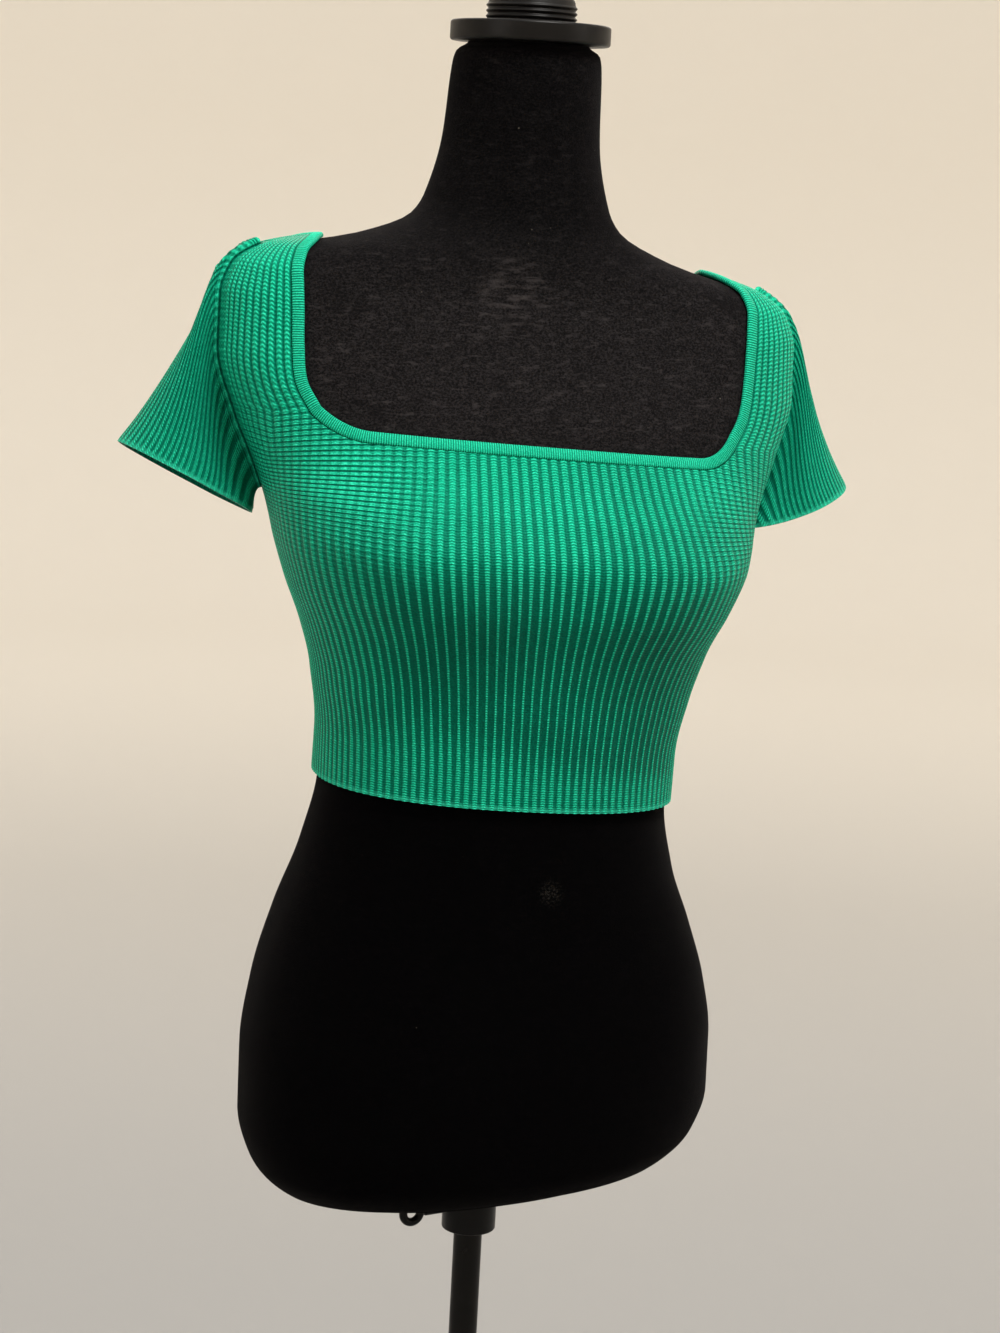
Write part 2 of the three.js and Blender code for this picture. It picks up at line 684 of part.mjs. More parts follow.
// The clamp's screw points out from the collar and ends in a ring
function screwGeometry() {
  const skin = new Skin();
  const sides = 8;
  const steps = 14;
  const reach = SCREW.reach - EYE.radius - EYE.wire - SEAM_GAP;
  const shank = new THREE.CylinderGeometry(SCREW.radius, SCREW.radius, reach - SCREW.from, sides);
  shank.rotateZ(PI / 2).translate((reach + SCREW.from) / 2, 0, 0);
  for (let i = 0; i < steps; i++) {
    const round = (2 * PI * i) / steps;
    for (let j = 0; j < sides; j++) {
      const about = (2 * PI * j) / sides;
      const radius = EYE.radius + EYE.wire * cos(about);
      skin.add(vec(SCREW.reach + radius * cos(round), EYE.wire * sin(about), radius * sin(round)));
    }
  }
  for (let i = 0; i < steps; i++) {
    for (let j = 0; j < sides; j++) {
      const nextRing = ((i + 1) % steps) * sides;
      const k = (j + 1) % sides;
      skin.quad(i * sides + j, i * sides + k, nextRing + k, nextRing + j);
    }
  }
  return { shank, ring: skin.geometry() };
}

function mesh(name, geometry, material) {
  const piece = new THREE.Mesh(geometry, material);
  piece.name = name;
  return piece;
}

const frontPlan = planPanel(FRONT);
const backPlan = planPanel(BACK);
const armhole = armholeRun();

function clothPieces() {
  const group = new THREE.Group();
  group.add(mesh('top_front', panelGeometry(frontPlan), knit('front_knit')));
  group.add(mesh('top_back', panelGeometry(backPlan), knit('back_knit')));
  group.add(mesh('sleeve_left', sleeveGeometry(armhole, 1), knit('left_sleeve_knit')));
  group.add(mesh('sleeve_right', sleeveGeometry(armhole, -1), knit('right_sleeve_knit')));
  group.add(mesh('neck_band', bandGeometry(), knit('band_knit')));
  return group;
}

function standPieces() {
  const group = new THREE.Group();
  const cap = mesh('neck_cap', turned(discProfile(CAP.radius, -CAP.thick / 2, CAP.thick / 2, CAP.edge)), plastic());
  const nut = mesh('cap_nut', turned(nutProfile()), plastic());
  cap.position.z = CAP_HEIGHT;
  nut.position.z = CAP_HEIGHT;
  const clampTop = heightOf(CLAMP.drop);
  const bore = POLE_RADIUS + SEAM_GAP;
  const collarProfile = tubeProfile(bore, CLAMP.radius, clampTop - CLAMP.height, clampTop, CLAMP.edge);
  const collar = mesh('clamp_collar', turned(collarProfile), blackMetal());
  const poleTop = heightOf(FORM_BOTTOM_DROP) - SEAM_GAP - POLE_RADIUS * LEAN * abs(leanAt(FORM_BOTTOM_DROP));
  const poleFoot = BASE.thick + SEAM_GAP;
  const pole = mesh('pole', turned(discProfile(POLE_RADIUS, poleFoot, poleTop, 0.5)), blackMetal());
  const base = mesh('base_disc', turned(discProfile(BASE.radius, 0, BASE.thick, BASE.edge), 36), blackMetal());
  const footProfile = tubeProfile(bore, BASE_COLLAR.radius, poleFoot, poleFoot + BASE_COLLAR.height, BASE_COLLAR.edge);
  const foot = mesh('base_collar', turned(footProfile), blackMetal());
  group.add(cap, nut, collar, pole, base, foot);
  const screw = new THREE.Group();
  const { shank, ring } = screwGeometry();
  screw.add(mesh('clamp_screw', shank, blackMetal()), mesh('screw_ring', ring, blackMetal()));
  screw.rotation.z = SCREW.yaw;
  screw.position.z = heightOf(SCREW.drop);
  group.add(screw);
  return group;
}

const model = new THREE.Group();
model.add(mesh('form_torso', formGeometry(), velvet()), clothPieces(), standPieces());

export default model;
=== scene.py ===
"""A ribbed crop top with a square neck and short sleeves, on a limbless velvet dress form."""

import math

import bpy
import numpy as np
from mathutils import Matrix, Vector


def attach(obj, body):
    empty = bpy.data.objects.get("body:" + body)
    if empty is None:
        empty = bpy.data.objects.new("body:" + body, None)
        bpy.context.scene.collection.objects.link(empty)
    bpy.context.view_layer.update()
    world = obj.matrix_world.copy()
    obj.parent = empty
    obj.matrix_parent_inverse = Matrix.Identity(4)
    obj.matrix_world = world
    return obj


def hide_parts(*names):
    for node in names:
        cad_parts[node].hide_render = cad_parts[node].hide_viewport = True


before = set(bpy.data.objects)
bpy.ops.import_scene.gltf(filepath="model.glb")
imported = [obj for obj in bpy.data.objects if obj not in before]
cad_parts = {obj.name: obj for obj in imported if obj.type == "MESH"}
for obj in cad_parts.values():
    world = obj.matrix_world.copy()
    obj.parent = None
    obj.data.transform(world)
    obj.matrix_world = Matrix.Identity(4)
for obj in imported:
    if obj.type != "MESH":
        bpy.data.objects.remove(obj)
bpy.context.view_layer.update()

MM = 0.001
PI = math.pi

# Heights in millimetres. A drop is measured down from the middle of the cap's disc.
CAP_HEIGHT = 1480.0
HEM_DROP = 479.5
UNDERARM_DROP = 300.0
ARMHOLE_TOP_DROP = 151.0
FORM_TOP_DROP = 6.6
FORM_BOTTOM_DROP = 744.0

# Cloth
CLOTH_GAP = 1.9
WALL = 1.4
RIB_RISE = 0.9
SEAM_GAP = 0.3
SIDE_SEAM_Y = 19.0
SHOULDER_SEAM_Y = 10.0

# Neckline, at the panels' edge
NECK_HALF = 146.0
NECK_SHIFT = -10.0  # the worn neckline sits a little towards the wearer's right
NECK_FOOT_RISE = 14.6  # the straps start this far above the neckline's lower edge
CORNER_LEFT, CORNER_RIGHT = 34.0, 50.0  # the corners' radii on the wearer's left and right
SHOULDER_NECK = (132.0, SHOULDER_SEAM_Y, 142.0)  # x, y and drop of its ends at the shoulder seams
BAND_WIDTH = 7.7
BAND_THICK = 2.5
BAND_CLEAR = 0.7  # the band's underside stays this far over the form
BAND_SEAM = 0.4  # the gap between the panels' edge and the band

# Sleeves, given for the wearer's left. Places are x, y and drop.
SLEEVE_RIBS = 52
SLEEVE_COURSE = 2.0
SLEEVE_STAND = 3.6  # the sleeve's root rises this far out of the armhole
SLEEVE_INSET = 0.8  # the root stands this much further in than its seam gap, wall and ribs ask
ARMHOLE_MIDDLE = (183.0, 28.0, 222.0)
CUFF_CENTRE = (204.0, 30.0, 292.0)
CUFF_HANG = 6.0  # the wearer's right sleeve hangs this much lower, and the left one higher
# The cuff's oval: the directions and lengths of its two half axes
CUFF_LONG, CUFF_LONG_HALF = np.array([0.845, 0.406, 0.36]), 45.5
CUFF_SHORT, CUFF_SHORT_HALF = np.array([0.402, -0.914, 0.087]), 35.0
CUFF_TIP = {1: 0.0, -1: 5.5}  # the wearer's right cuff is tipped up in front by this much
SLEEVE_SHIFT = 0.25  # of a rib, from the underarm to the sleeve's first groove
SLEEVE_SWEEP = 0.45  # how far the sleeve's ribs crowd towards the shoulder at the armhole
PUFF_UNDER, PUFF_TOP = 6.0, 12.0  # how strongly the sleeve swells out of the armhole
FLARE_UNDER, FLARE_TOP = 3.0, 58.0  # and how straight it falls to the cuff
# The directions in which the sleeve falls, at the underarm and at the shoulder
FALL_UNDER, FALL_TOP = np.array([0.4, -0.3, -0.87]), np.array([0.62, 0.1, -0.78])

FRONT = {
    "facing": -1,
    "ribs": 68,
    "strap_ribs": 12,
    "neck_drop": 260.0,
    "armhole": 8.0,
    # Rows of points below the underarm, above it and on the straps
    "rows": (100, 36, 64),
    # x, y and drop along the straps' neck edge, from its foot up
    "strap_edge": [(143.2, -48, 229), (146.5, -42, 206), (144.5, -33, 176), (138, -14, 151)],
    # Where the worn cloth is pulled sideways its ribs flatten: x, drop, half width, half height and strength
    "fades": [(-128, 282, 46, 40, 0.9), (132, 292, 34, 36, 0.5)],
    # Soft creases: x and drop at the start and at the end, half width, and height over or under the cloth
    "creases": [
        (-152, 292, -72, 314, 8, 1.2),
        (-150, 312, -88, 352, 8, -0.6),
        (-142, 338, -104, 404, 10, 0.9),
        (-118, 410, -60, 436, 11, 0.7),
        (152, 298, 92, 334, 9, 1.1),
        (146, 326, 112, 384, 8, -0.6),
        (134, 372, 96, 432, 11, 0.9),
        (-34, 418, 46, 426, 10, 0.5),
    ],
}
BACK = {
    "facing": 1,
    "ribs": 56,
    "strap_ribs": 12,
    "neck_drop": 215.0,
    "armhole": 34.0,
    "rows": (100, 36, 48),
    "strap_edge": [(147, 76, 182), (139, 44, 154)],
    "fades": [(-140, 290, 36, 38, 0.6), (138, 296, 32, 34, 0.5)],
    "creases": [
        (-150, 298, -84, 326, 9, 1.2),
        (-140, 330, -96, 382, 9, 0.9),
        (150, 302, 90, 338, 8, 1.2),
        (138, 344, 104, 398, 10, 0.8),
        (-96, 402, -22, 410, 9, 0.9),
        (24, 416, 104, 404, 10, 1.0),
        (-52, 432, 38, 440, 9, -0.6),
        (-20, 300, 60, 306, 14, 0.6),
    ],
}

# The form's sections: drop, half width, front, back, and how square the oval is
FORM_LEVELS = np.array(
    [
        (6.6, 38, -37, 42, 2.0),
        (12, 45, -43.5, 49.5, 2.0),
        (20, 47, -44, 53, 2.0),
        (66, 50, -42, 60, 2.0),
        (105, 59, -46, 70, 2.05),
        (118, 67, -50, 74, 2.1),
        (135, 105, -57, 80, 2.2),
        (142, 135, -58.8, 82, 2.3),
        (150, 163, -59.9, 84, 2.3),
        (162, 180, -61, 86, 2.35),
        (180, 186, -64, 88, 2.35),
        (210, 186, -70, 90, 2.35),
        (250, 174, -82, 92, 2.4),
        (280, 161, -95, 92, 2.5),
        (300, 154, -105, 91, 2.5),
        (325, 148, -113, 89, 2.5),
        (350, 139, -110, 86, 2.5),
        (380, 127, -101, 83, 2.4),
        (410, 119, -94, 81, 2.35),
        (450, 114, -89, 82, 2.3),
        (480, 114, -87, 86, 2.3),
        (526, 123, -88, 96, 2.3),
        (568, 138, -92, 108, 2.35),
        (610, 150, -98, 117, 2.4),
        (652, 156, -103, 120, 2.4),
        (692, 156, -104, 118, 2.4),
        (718, 149, -100, 112, 2.35),
        (737, 132, -87, 98, 2.3),
        (744, 113, -72, 83, 2.2),
    ]
)

# The bust is two soft swells in the section, this far round from the front.
BUST_RISE, BUST_ROUND, BUST_SPREAD, BUST_DROP, BUST_HEIGHT = 0.085, 0.72, 0.42, 324.0, 46.0

# The form leans down to the wearer's left at the chest, and down to the wearer's right at the hips.
# The levels give a drop and how much of the lean there is.
LEAN = 0.0524
LEAN_LEVELS = np.array([(8, 0.0), (66, 0.7), (150, 1.0), (480, 1.0), (650, -1.0), (744, -1.7)])

# The cap, its knob, and the stand
CAP_RADIUS, CAP_THICK, CAP_EDGE = 50.5, 12.5, 1.8
NUT_RADIUS, NUT_COLLAR, NUT_HEIGHT = 31.0, 27.5, 21.0
NUT_THREAD, NUT_RINGS, NUT_PITCH, NUT_STEPS = 1.2, 3, 3.4, 8
POLE_RADIUS, POLE_EDGE = 9.5, 0.5
CLAMP_RADIUS, CLAMP_HEIGHT, CLAMP_DROP, CLAMP_EDGE = 18.0, 37.0, 747.5, 1.5
SCREW_RADIUS, SCREW_START, SCREW_EDGE = 3.4, 18.3, 0.6
SCREW_REACH, SCREW_DROP, SCREW_YAW = 44.5, 768.0, PI + 0.28
EYE_RADIUS, EYE_WIRE = 6.5, 2.8
BASE_RADIUS, BASE_THICK, BASE_EDGE = 165.0, 12.0, 3.0
BASE_COLLAR_RADIUS, BASE_COLLAR_HEIGHT, BASE_COLLAR_EDGE = 20.0, 26.0, 2.0

# Soft folds in the sleeves: turn, width in turn, start and end along the sleeve, and depth
SLEEVE_FOLDS = {
    1: [
        (1.0, 0.34, 0.1, 1.1, 2.6),
        (1.75, 0.3, 0.2, 1.2, 1.4),
        (5.2, 0.4, 0.2, 1.1, 2.2),
        (4.3, 0.3, 0.0, 0.9, 1.2),
    ],
    -1: [
        (0.85, 0.3, 0.05, 1.2, 3.0),
        (1.6, 0.26, 0.3, 1.2, 1.2),
        (5.4, 0.4, 0.1, 1.0, 2.4),
        (4.5, 0.3, 0.2, 1.2, 1.5),
    ],
}

# The knit: heights of its courses on the body, on the straps and where it is pulled sideways
COURSE, STRAP_COURSE, PULLED_COURSE = 1.6, 2.3, 3.3
# The ladder of bars along the armholes: their pitch, and the ladder's width in ribs
LADDER_PITCH, LADDER_RIBS = 2.8, 2.0
BAND_RIDGE = 1.5
CREST_THIN, CREST_BROAD = 6.0, 0.7  # how sharp a rib's crest is where the knit closes up or lies open
# Where the ribs lie open, with broad crests, and where painted light spreads over them and lightens the
# painted shade in their grooves: the drops between which they open towards the chest, and by what share, the
# heights over the hem on the wearer's left and right, and the distances out to the sides
OPEN_LIT_CHEST = [(334, 268, 0.4), (362, 316, 0.6)]
OPEN_LIT_HEM_LEFT, OPEN_LIT_HEM_RIGHT, OPEN_LIT_HEM_SHARE = 34, 74, 0.8
OPEN_LIT_SIDE_FROM, OPEN_LIT_SIDE_TO, OPEN_LIT_SIDE_SHARE = 70, 125, 0.6

# Pulled courses fan out from the underarm: its distance from the middle, the reach outwards and
# upwards, and how strongly
FAN_OUT, FAN_WIDE, FAN_TALL, FAN_SHARE = 160, 45, 60, 0.55
# Heights of ribs that close up, as a share of open ones, and what a fade takes from them
CLOSED_SHARE, FADE_LOSS = 0.75, 0.72
LADDER_RISE, LADDER_WAVE = 0.42, 0.14  # the ladder's height, and that of its bars over and under it

SHARP_EDGE = math.radians(62)  # faces that meet at more than this angle show an edge

# Fineness of the cloth's meshes
COLUMNS_PER_RIB = 8
SLEEVE_ROWS = 60
BAND_STEPS = 4  # steps along the band to each of its ridges
INNER_COLUMNS = 16
INNER_ROWS = 4

# Colours of the yarn, its painted shade and painted highlight, and the two rubbed places on the velvet, in
# metres
# Painted shade in the deep grooves, between stitches and on the cloth's inside
PAINTED_DEEP_SHADE = (0.0001, 0.085, 0.052, 1)
# Painted shade, lighter, in the grooves where the ribs lie open and between the band's ridges
PAINTED_GROOVE_SHADE = (0.0004, 0.145, 0.086, 1)
RIDGE = (0.0010, 0.43, 0.240, 1)
# A painted highlight on the stitches, at the hem's edge and on the band's ridges
PAINTED_HIGHLIGHT = (0.055, 0.85, 0.55, 1)
HIP_SCUFF_M = (0.018, -0.094, 0.948)
NECK_SCUFF_M = (-0.020, -0.060, 1.322)

# Lights: name, place in metres, size, power and colour. All aim at the chest.
CHEST_M = (0.0, 0.0, 1.2)
LIGHTS = [
    ("window", (0.3, -1.0, 3.1), (0.8, 0.6), 50.0, (1.0, 0.98, 0.94)),
    ("left", (-2.6, -1.4, 1.9), (0.9, 1.4), 10.0, (1.0, 0.97, 0.92)),
    ("right", (2.6, -1.3, 2.0), (0.9, 1.4), 8.0, (1.0, 0.97, 0.92)),
    ("behind", (0.8, 2.6, 2.4), (1.8, 1.4), 16.0, (1.0, 0.97, 0.92)),
]
FLOOR_DROP = 0.5  # the floor lies this far under the foot

# The photograph's view
VIEW_SIDE, VIEW_DOWN, VIEW_ROLL = math.radians(16), math.radians(9.5), math.radians(3.0)
VIEW_REACH_M, VIEW_HEIGHT_M = 1.9, 1.395
VIEW_LENS, VIEW_SENSOR, VIEW_SHIFT = 80.1, 36, 0.0019


def smooth_column(rows, column):
    """A smooth curve through one column of a table, which never swings past its rows."""
    at, value = rows[:, 0], rows[:, column]
    rate = np.diff(value) / np.diff(at)
    slope = np.zeros(len(at))
    same = rate[:-1] * rate[1:] > 0
    both = np.where(same, rate[:-1] + rate[1:], 1.0)
    slope[1:-1] = np.where(same, 2 * rate[:-1] * rate[1:] / both, 0)

    def read(drop):
        d = np.clip(drop, at[0], at[-1])
        i = np.clip(np.searchsorted(at, d) - 1, 0, len(at) - 2)
        step = at[i + 1] - at[i]
        t = (d - at[i]) / step
        ease = t * t * (3 - 2 * t)
        leave = t * (1 - t) ** 2 * step * slope[i]
        arrive = t * t * (t - 1) * step * slope[i + 1]
        return value[i] + (value[i + 1] - value[i]) * ease + leave + arrive

    return read


half_at, front_at, back_at, square_at = (smooth_column(FORM_LEVELS, c) for c in (1, 2, 3, 4))
lean_at = smooth_column(LEAN_LEVELS, 1)


def bell(off, other=0.0):
    """Falls softly from 1 in the middle to 0 on both sides."""
    return np.exp(-(off**2) - other**2)


def middle_at(z):
    return (front_at(CAP_HEIGHT - z) + back_at(CAP_HEIGHT - z)) / 2


def radius_at(angle, z):
    drop = CAP_HEIGHT - z
    square = square_at(drop)
    depth = (back_at(drop) - front_at(drop)) / 2
    oval = np.abs(np.cos(angle) / half_at(drop)) ** square + np.abs(np.sin(angle) / depth) ** square
    from_front = np.arccos(np.clip(-np.sin(angle), -1, 1))
    swell = bell((from_front - BUST_ROUND) / BUST_SPREAD, (drop - BUST_DROP) / BUST_HEIGHT)
    return oval ** (-1 / square) * (1 + BUST_RISE * swell)


def on_form(angle, z):
    angle, z = np.broadcast_arrays(np.asarray(angle, float), np.asarray(z, float))
    radius = radius_at(angle, z)
    return np.stack([radius * np.cos(angle), middle_at(z) + radius * np.sin(angle), z], -1)


def outside(p):
    """Under 0 inside the form, over 0 outside it."""
    y = p[..., 1] - middle_at(p[..., 2])
    return np.hypot(p[..., 0], y) / radius_at(np.arctan2(y, p[..., 0]), p[..., 2]) - 1


def unit(v):
    return v / np.linalg.norm(v, axis=-1, keepdims=True)


def normal_at(p):
    step = 0.4
    axes = np.eye(3) * step
    return unit(np.stack([outside(p + a) - outside(p - a) for a in axes], -1))


def onto_form(p):
    """Moves points that are near the form onto it, along lines from a core inside the chest.

    Under the arms the core is the form's middle. Over the first part of the armhole it spreads out
    towards the shoulders, and it stops at a drop of 230.
    """
    z = np.minimum(p[..., 2], CAP_HEIGHT - 230)
    over_underarm = p[..., 2] - (CAP_HEIGHT - UNDERARM_DROP)
    sideways = 0.6 * np.clip(over_underarm / 70, 0, 1)
    core = np.stack([p[..., 0] * sideways, middle_at(z), z], -1)
    ray = p - core
    low = np.zeros(p.shape[:-1])
    high = np.full(p.shape[:-1], 2.0)
    for _ in range(26):
        half = (low + high) / 2
        inside = outside(core + ray * half[..., None]) < 0
        low = np.where(inside, half, low)
        high = np.where(inside, high, half)
    return core + ray * low[..., None]


def raised(p, distance):
    """Points on the form, moved straight out from it."""
    return p + normal_at(p) * np.asarray(distance)[..., None]


def leaned(p):
    """Points of the upright form, with its lean."""
    out = p.copy()
    out[..., 2] -= LEAN * p[..., 0] * lean_at(CAP_HEIGHT - p[..., 2])
    return out


def place(x, y, drop):
    """A point from its x, y and drop."""
    return np.array([x, y, CAP_HEIGHT - drop], float)


def smooth(low, high, value):
    t = np.clip((value - low) / (high - low), 0, 1)
    return t * t * (3 - 2 * t)


def mix(a, b, t):
    return a + (b - a) * t


# Armholes. turn is 0 at the underarm and PI at the shoulder.
ARMHOLE_HALF = (UNDERARM_DROP - ARMHOLE_TOP_DROP) / 2
ARMHOLE_CENTRE = CAP_HEIGHT - (UNDERARM_DROP + ARMHOLE_TOP_DROP) / 2


def armhole_turn_at(z):
    return np.arccos(np.clip((ARMHOLE_CENTRE - z) / ARMHOLE_HALF, -1, 1))


def armhole_y(panel, turn):
    middle = mix(SIDE_SEAM_Y, SHOULDER_SEAM_Y, (1 - np.cos(turn)) / 2)
    return middle + panel["facing"] * (panel["armhole"] * np.sin(turn) + SEAM_GAP / 2)


def armhole_point(panel, turn):
    turn = np.asarray(turn, float)
    z = ARMHOLE_CENTRE - ARMHOLE_HALF * np.cos(turn)
    start = np.stack([0.97 * half_at(CAP_HEIGHT - z), armhole_y(panel, turn), z], -1)
    return onto_form(start)


def side_angle(z, y):
    """The angle at which each section reaches a given y on the wearer's left side."""
    low, high = np.full(z.shape, -1.3), np.full(z.shape, 1.3)
    for _ in range(34):
        half = (low + high) / 2
        under = on_form(half, z)[..., 1] < y
        low, high = np.where(under, half, low), np.where(under, high, half)
    return low


class Stretch:
    """A panel's width at every height, as the angle at each share of the way across, by length."""

    def __init__(self, panel, top):
        self.z = np.arange(CAP_HEIGHT - HEM_DROP - 2, top + 2, 1.0)
        armhole = armhole_y(panel, armhole_turn_at(self.z))
        seam = SIDE_SEAM_Y + panel["facing"] * SEAM_GAP / 2
        edge = side_angle(self.z, np.where(self.z > CAP_HEIGHT - UNDERARM_DROP, armhole, seam))
        front = panel["facing"] < 0
        start = PI - edge if front else edge
        end = 2 * PI + edge if front else PI - edge
        run = np.linspace(0, 1, 220)
        angles = mix(start[:, None], end[:, None], run[None, :])
        points = on_form(angles, self.z[:, None])
        steps = np.linalg.norm(np.diff(points, axis=1), axis=2)
        lengths = np.concatenate([np.zeros((len(self.z), 1)), np.cumsum(steps, axis=1)], axis=1)
        self.shares = np.linspace(0, 1, 400)
        rows = zip(lengths, angles)
        exact = np.stack([np.interp(self.shares * along[-1], along, angle) for along, angle in rows])
        # The columns keep to the seams at a panel's edges and are eased further in
        from_edge = np.minimum(self.shares, 1 - self.shares)
        self.angles = mix(exact, self.eased(exact), smooth(0.0, 0.14, from_edge)[None, :])

    def eased(self, angles, reach=54, spread=20):
        """Averages the table up and down, so that ribs flow past the armhole's bow."""
        weight = bell(np.arange(-reach, reach + 1) / spread)
        weight /= weight.sum()
        padded = np.pad(angles, ((reach, reach), (0, 0)), mode="edge")
        return np.stack([np.convolve(column, weight, mode="valid") for column in padded.T], -1)

    def angle(self, z, share):
        """Reads the angle between the table's heights and shares."""
        row = np.clip(z - self.z[0], 0, len(self.z) - 1.001)
        column = np.clip(share, 0, 1) * (len(self.shares) - 1)
        column = np.clip(column, 0, len(self.shares) - 1.001)
        r, c = row.astype(int), column.astype(int)
        down, across = row - r, column - c
        low = mix(self.angles[r, c], self.angles[r, c + 1], across)
        high = mix(self.angles[r + 1, c], self.angles[r + 1, c + 1], across)
        return mix(low, high, down)


def curve_through(points, steps):
    """A smooth open curve through points, read at even lengths."""
    p = np.vstack([2 * points[0] - points[1], points, 2 * points[-1] - points[-2]])
    fine = []
    for i in range(1, len(p) - 2):
        knots = np.cumsum([0] + [np.linalg.norm(p[k + 1] - p[k]) ** 0.5 for k in range(i - 1, i + 2)])
        t = np.linspace(knots[1], knots[2], 40, endpoint=i == len(p) - 3)[:, None]
        a = [mix(p[i - 1 + k], p[i + k], (t - knots[k]) / (knots[k + 1] - knots[k])) for k in range(3)]
        b = [mix(a[k], a[k + 1], (t - knots[k]) / (knots[k + 2] - knots[k])) for k in range(2)]
        fine.append(mix(b[0], b[1], (t - knots[1]) / (knots[2] - knots[1])))
    return at_even_lengths(np.vstack(fine), steps)


def lengths_along(line):
    return np.concatenate([[0], np.cumsum(np.linalg.norm(np.diff(line, axis=0), axis=1))])


def at_even_lengths(line, steps):
    along = lengths_along(line)
    wanted = np.linspace(0, along[-1], steps + 1)
    return np.stack([np.interp(wanted, along, line[:, k]) for k in range(3)], -1)


def corner_rise(x):
    """How far the neckline's lower edge has risen towards its two round corners."""
    corner = np.where(x > NECK_SHIFT, CORNER_LEFT, CORNER_RIGHT)
    into = np.clip(np.abs(x - NECK_SHIFT) - (NECK_HALF - corner), 0, corner)
    return corner - np.sqrt(corner**2 - into**2)


def strap_foot_reach(side):
    """How far from the neckline's middle its edge lies at the height of the straps' feet."""
    corner = CORNER_LEFT if side > 0 else CORNER_RIGHT
    return NECK_HALF - corner + math.sqrt(corner**2 - (corner - NECK_FOOT_RISE) ** 2)


def plan_panel(panel):
    """What a panel's columns need: where each one ends at the top, and the strap's neck edge."""
    columns = panel["ribs"] * COLUMNS_PER_RIB
    strap = panel["strap_ribs"] * COLUMNS_PER_RIB
    bottom = CAP_HEIGHT - panel["neck_drop"]
    corner_z = bottom + NECK_FOOT_RISE
    stretch = Stretch(panel, corner_z)
    sides = (panel["facing"], -panel["facing"])
    corners = [corner_share(stretch, strap_foot_reach(side), corner_z, side == sides[0]) for side in sides]
    edges = [neck_marks(panel, stretch, share, corner_z, side) for share, side in zip(corners, sides)]
    column = np.arange(columns + 1)
    top_share = np.interp(column, [0, strap, columns - strap, columns], [0, *corners, 1])
    return {
        "panel": panel,
        "columns": columns,
        "strap": strap,
        "corner_z": corner_z,
        "bottom": bottom,
        "stretch": stretch,
        "top_share": top_share,
        "neck_marks": edges,
    }


def corner_share(stretch, corner_x, corner_z, first):
    """How far across a panel its neckline's first or last corner lies."""
    shares = np.linspace(0, 0.5, 2000) if first else np.linspace(1, 0.5, 2000)
    xs = on_form(stretch.angle(np.full(shares.shape, corner_z), shares), corner_z)[:, 0]
    return shares[np.argmax(np.abs(xs - NECK_SHIFT) < corner_x)]


def neck_marks(panel, stretch, share, corner_z, side):
    """The strap's neck edge, from the neckline's corner to the shoulder seam."""
    corner = on_form(stretch.angle(np.array(corner_z), np.array(share)), corner_z)
    rows = panel["strap_edge"]
    shifts = NECK_SHIFT * (1 - np.arange(1, len(rows) + 1) / (len(rows) + 1))
    marks = [place(side * x + shift, y, drop) for (x, y, drop), shift in zip(rows, shifts)]
    shoulder = place(side * SHOULDER_NECK[0], *SHOULDER_NECK[1:])
    shoulder[1] += panel["facing"] * SEAM_GAP / 2
    return onto_form(np.array([corner, *marks, shoulder]))


def body_points(plan, rows_below, rows_above):
    """The body of a panel as rows of points on the form, from the hem to the neckline and straps."""
    columns, strap, stretch = plan["columns"], plan["strap"], plan["stretch"]
    column = np.arange(columns + 1)
    share = plan["top_share"]
    top_x = on_form(stretch.angle(np.full(columns + 1, plan["corner_z"]), share), plan["corner_z"])[:, 0]
    on_strap = (column <= strap) | (column >= columns - strap)
    top = np.where(on_strap, plan["corner_z"], plan["bottom"] + corner_rise(top_x))
    hem, underarm = CAP_HEIGHT - HEM_DROP, CAP_HEIGHT - UNDERARM_DROP
    low = np.linspace(0, 1, rows_below + 1)[:, None]
    high = np.linspace(0, 1, rows_above + 1)[1:, None]
    below = np.repeat(mix(hem, underarm, low), columns + 1, axis=1)
    z = np.vstack([below, mix(underarm, top[None, :], high)])
    climb = (z - hem) / (top[None, :] - hem)
    return on_form(stretch.angle(z, mix(column[None, :] / columns, share[None, :], climb)), z)


def strap_points(plan, first, rows):
    """A strap, from its foot to the shoulder seam, with its columns in the panel's order."""
    panel, strap = plan["panel"], plan["strap"]
    up = np.linspace(0, 1, rows + 1)
    turn = mix(armhole_turn_at(plan["corner_z"]), PI, up)
    arm_edge = armhole_point(panel, turn)
    arm_edge[:, 0] *= panel["facing"] if first else -panel["facing"]
    neck_edge = curve_through(plan["neck_marks"][0 if first else 1], rows)
    across = np.arange(strap + 1) / strap
    across = across if first else 1 - across
    return onto_form(mix(arm_edge[:, None, :], neck_edge[:, None, :], across[None, :, None]))


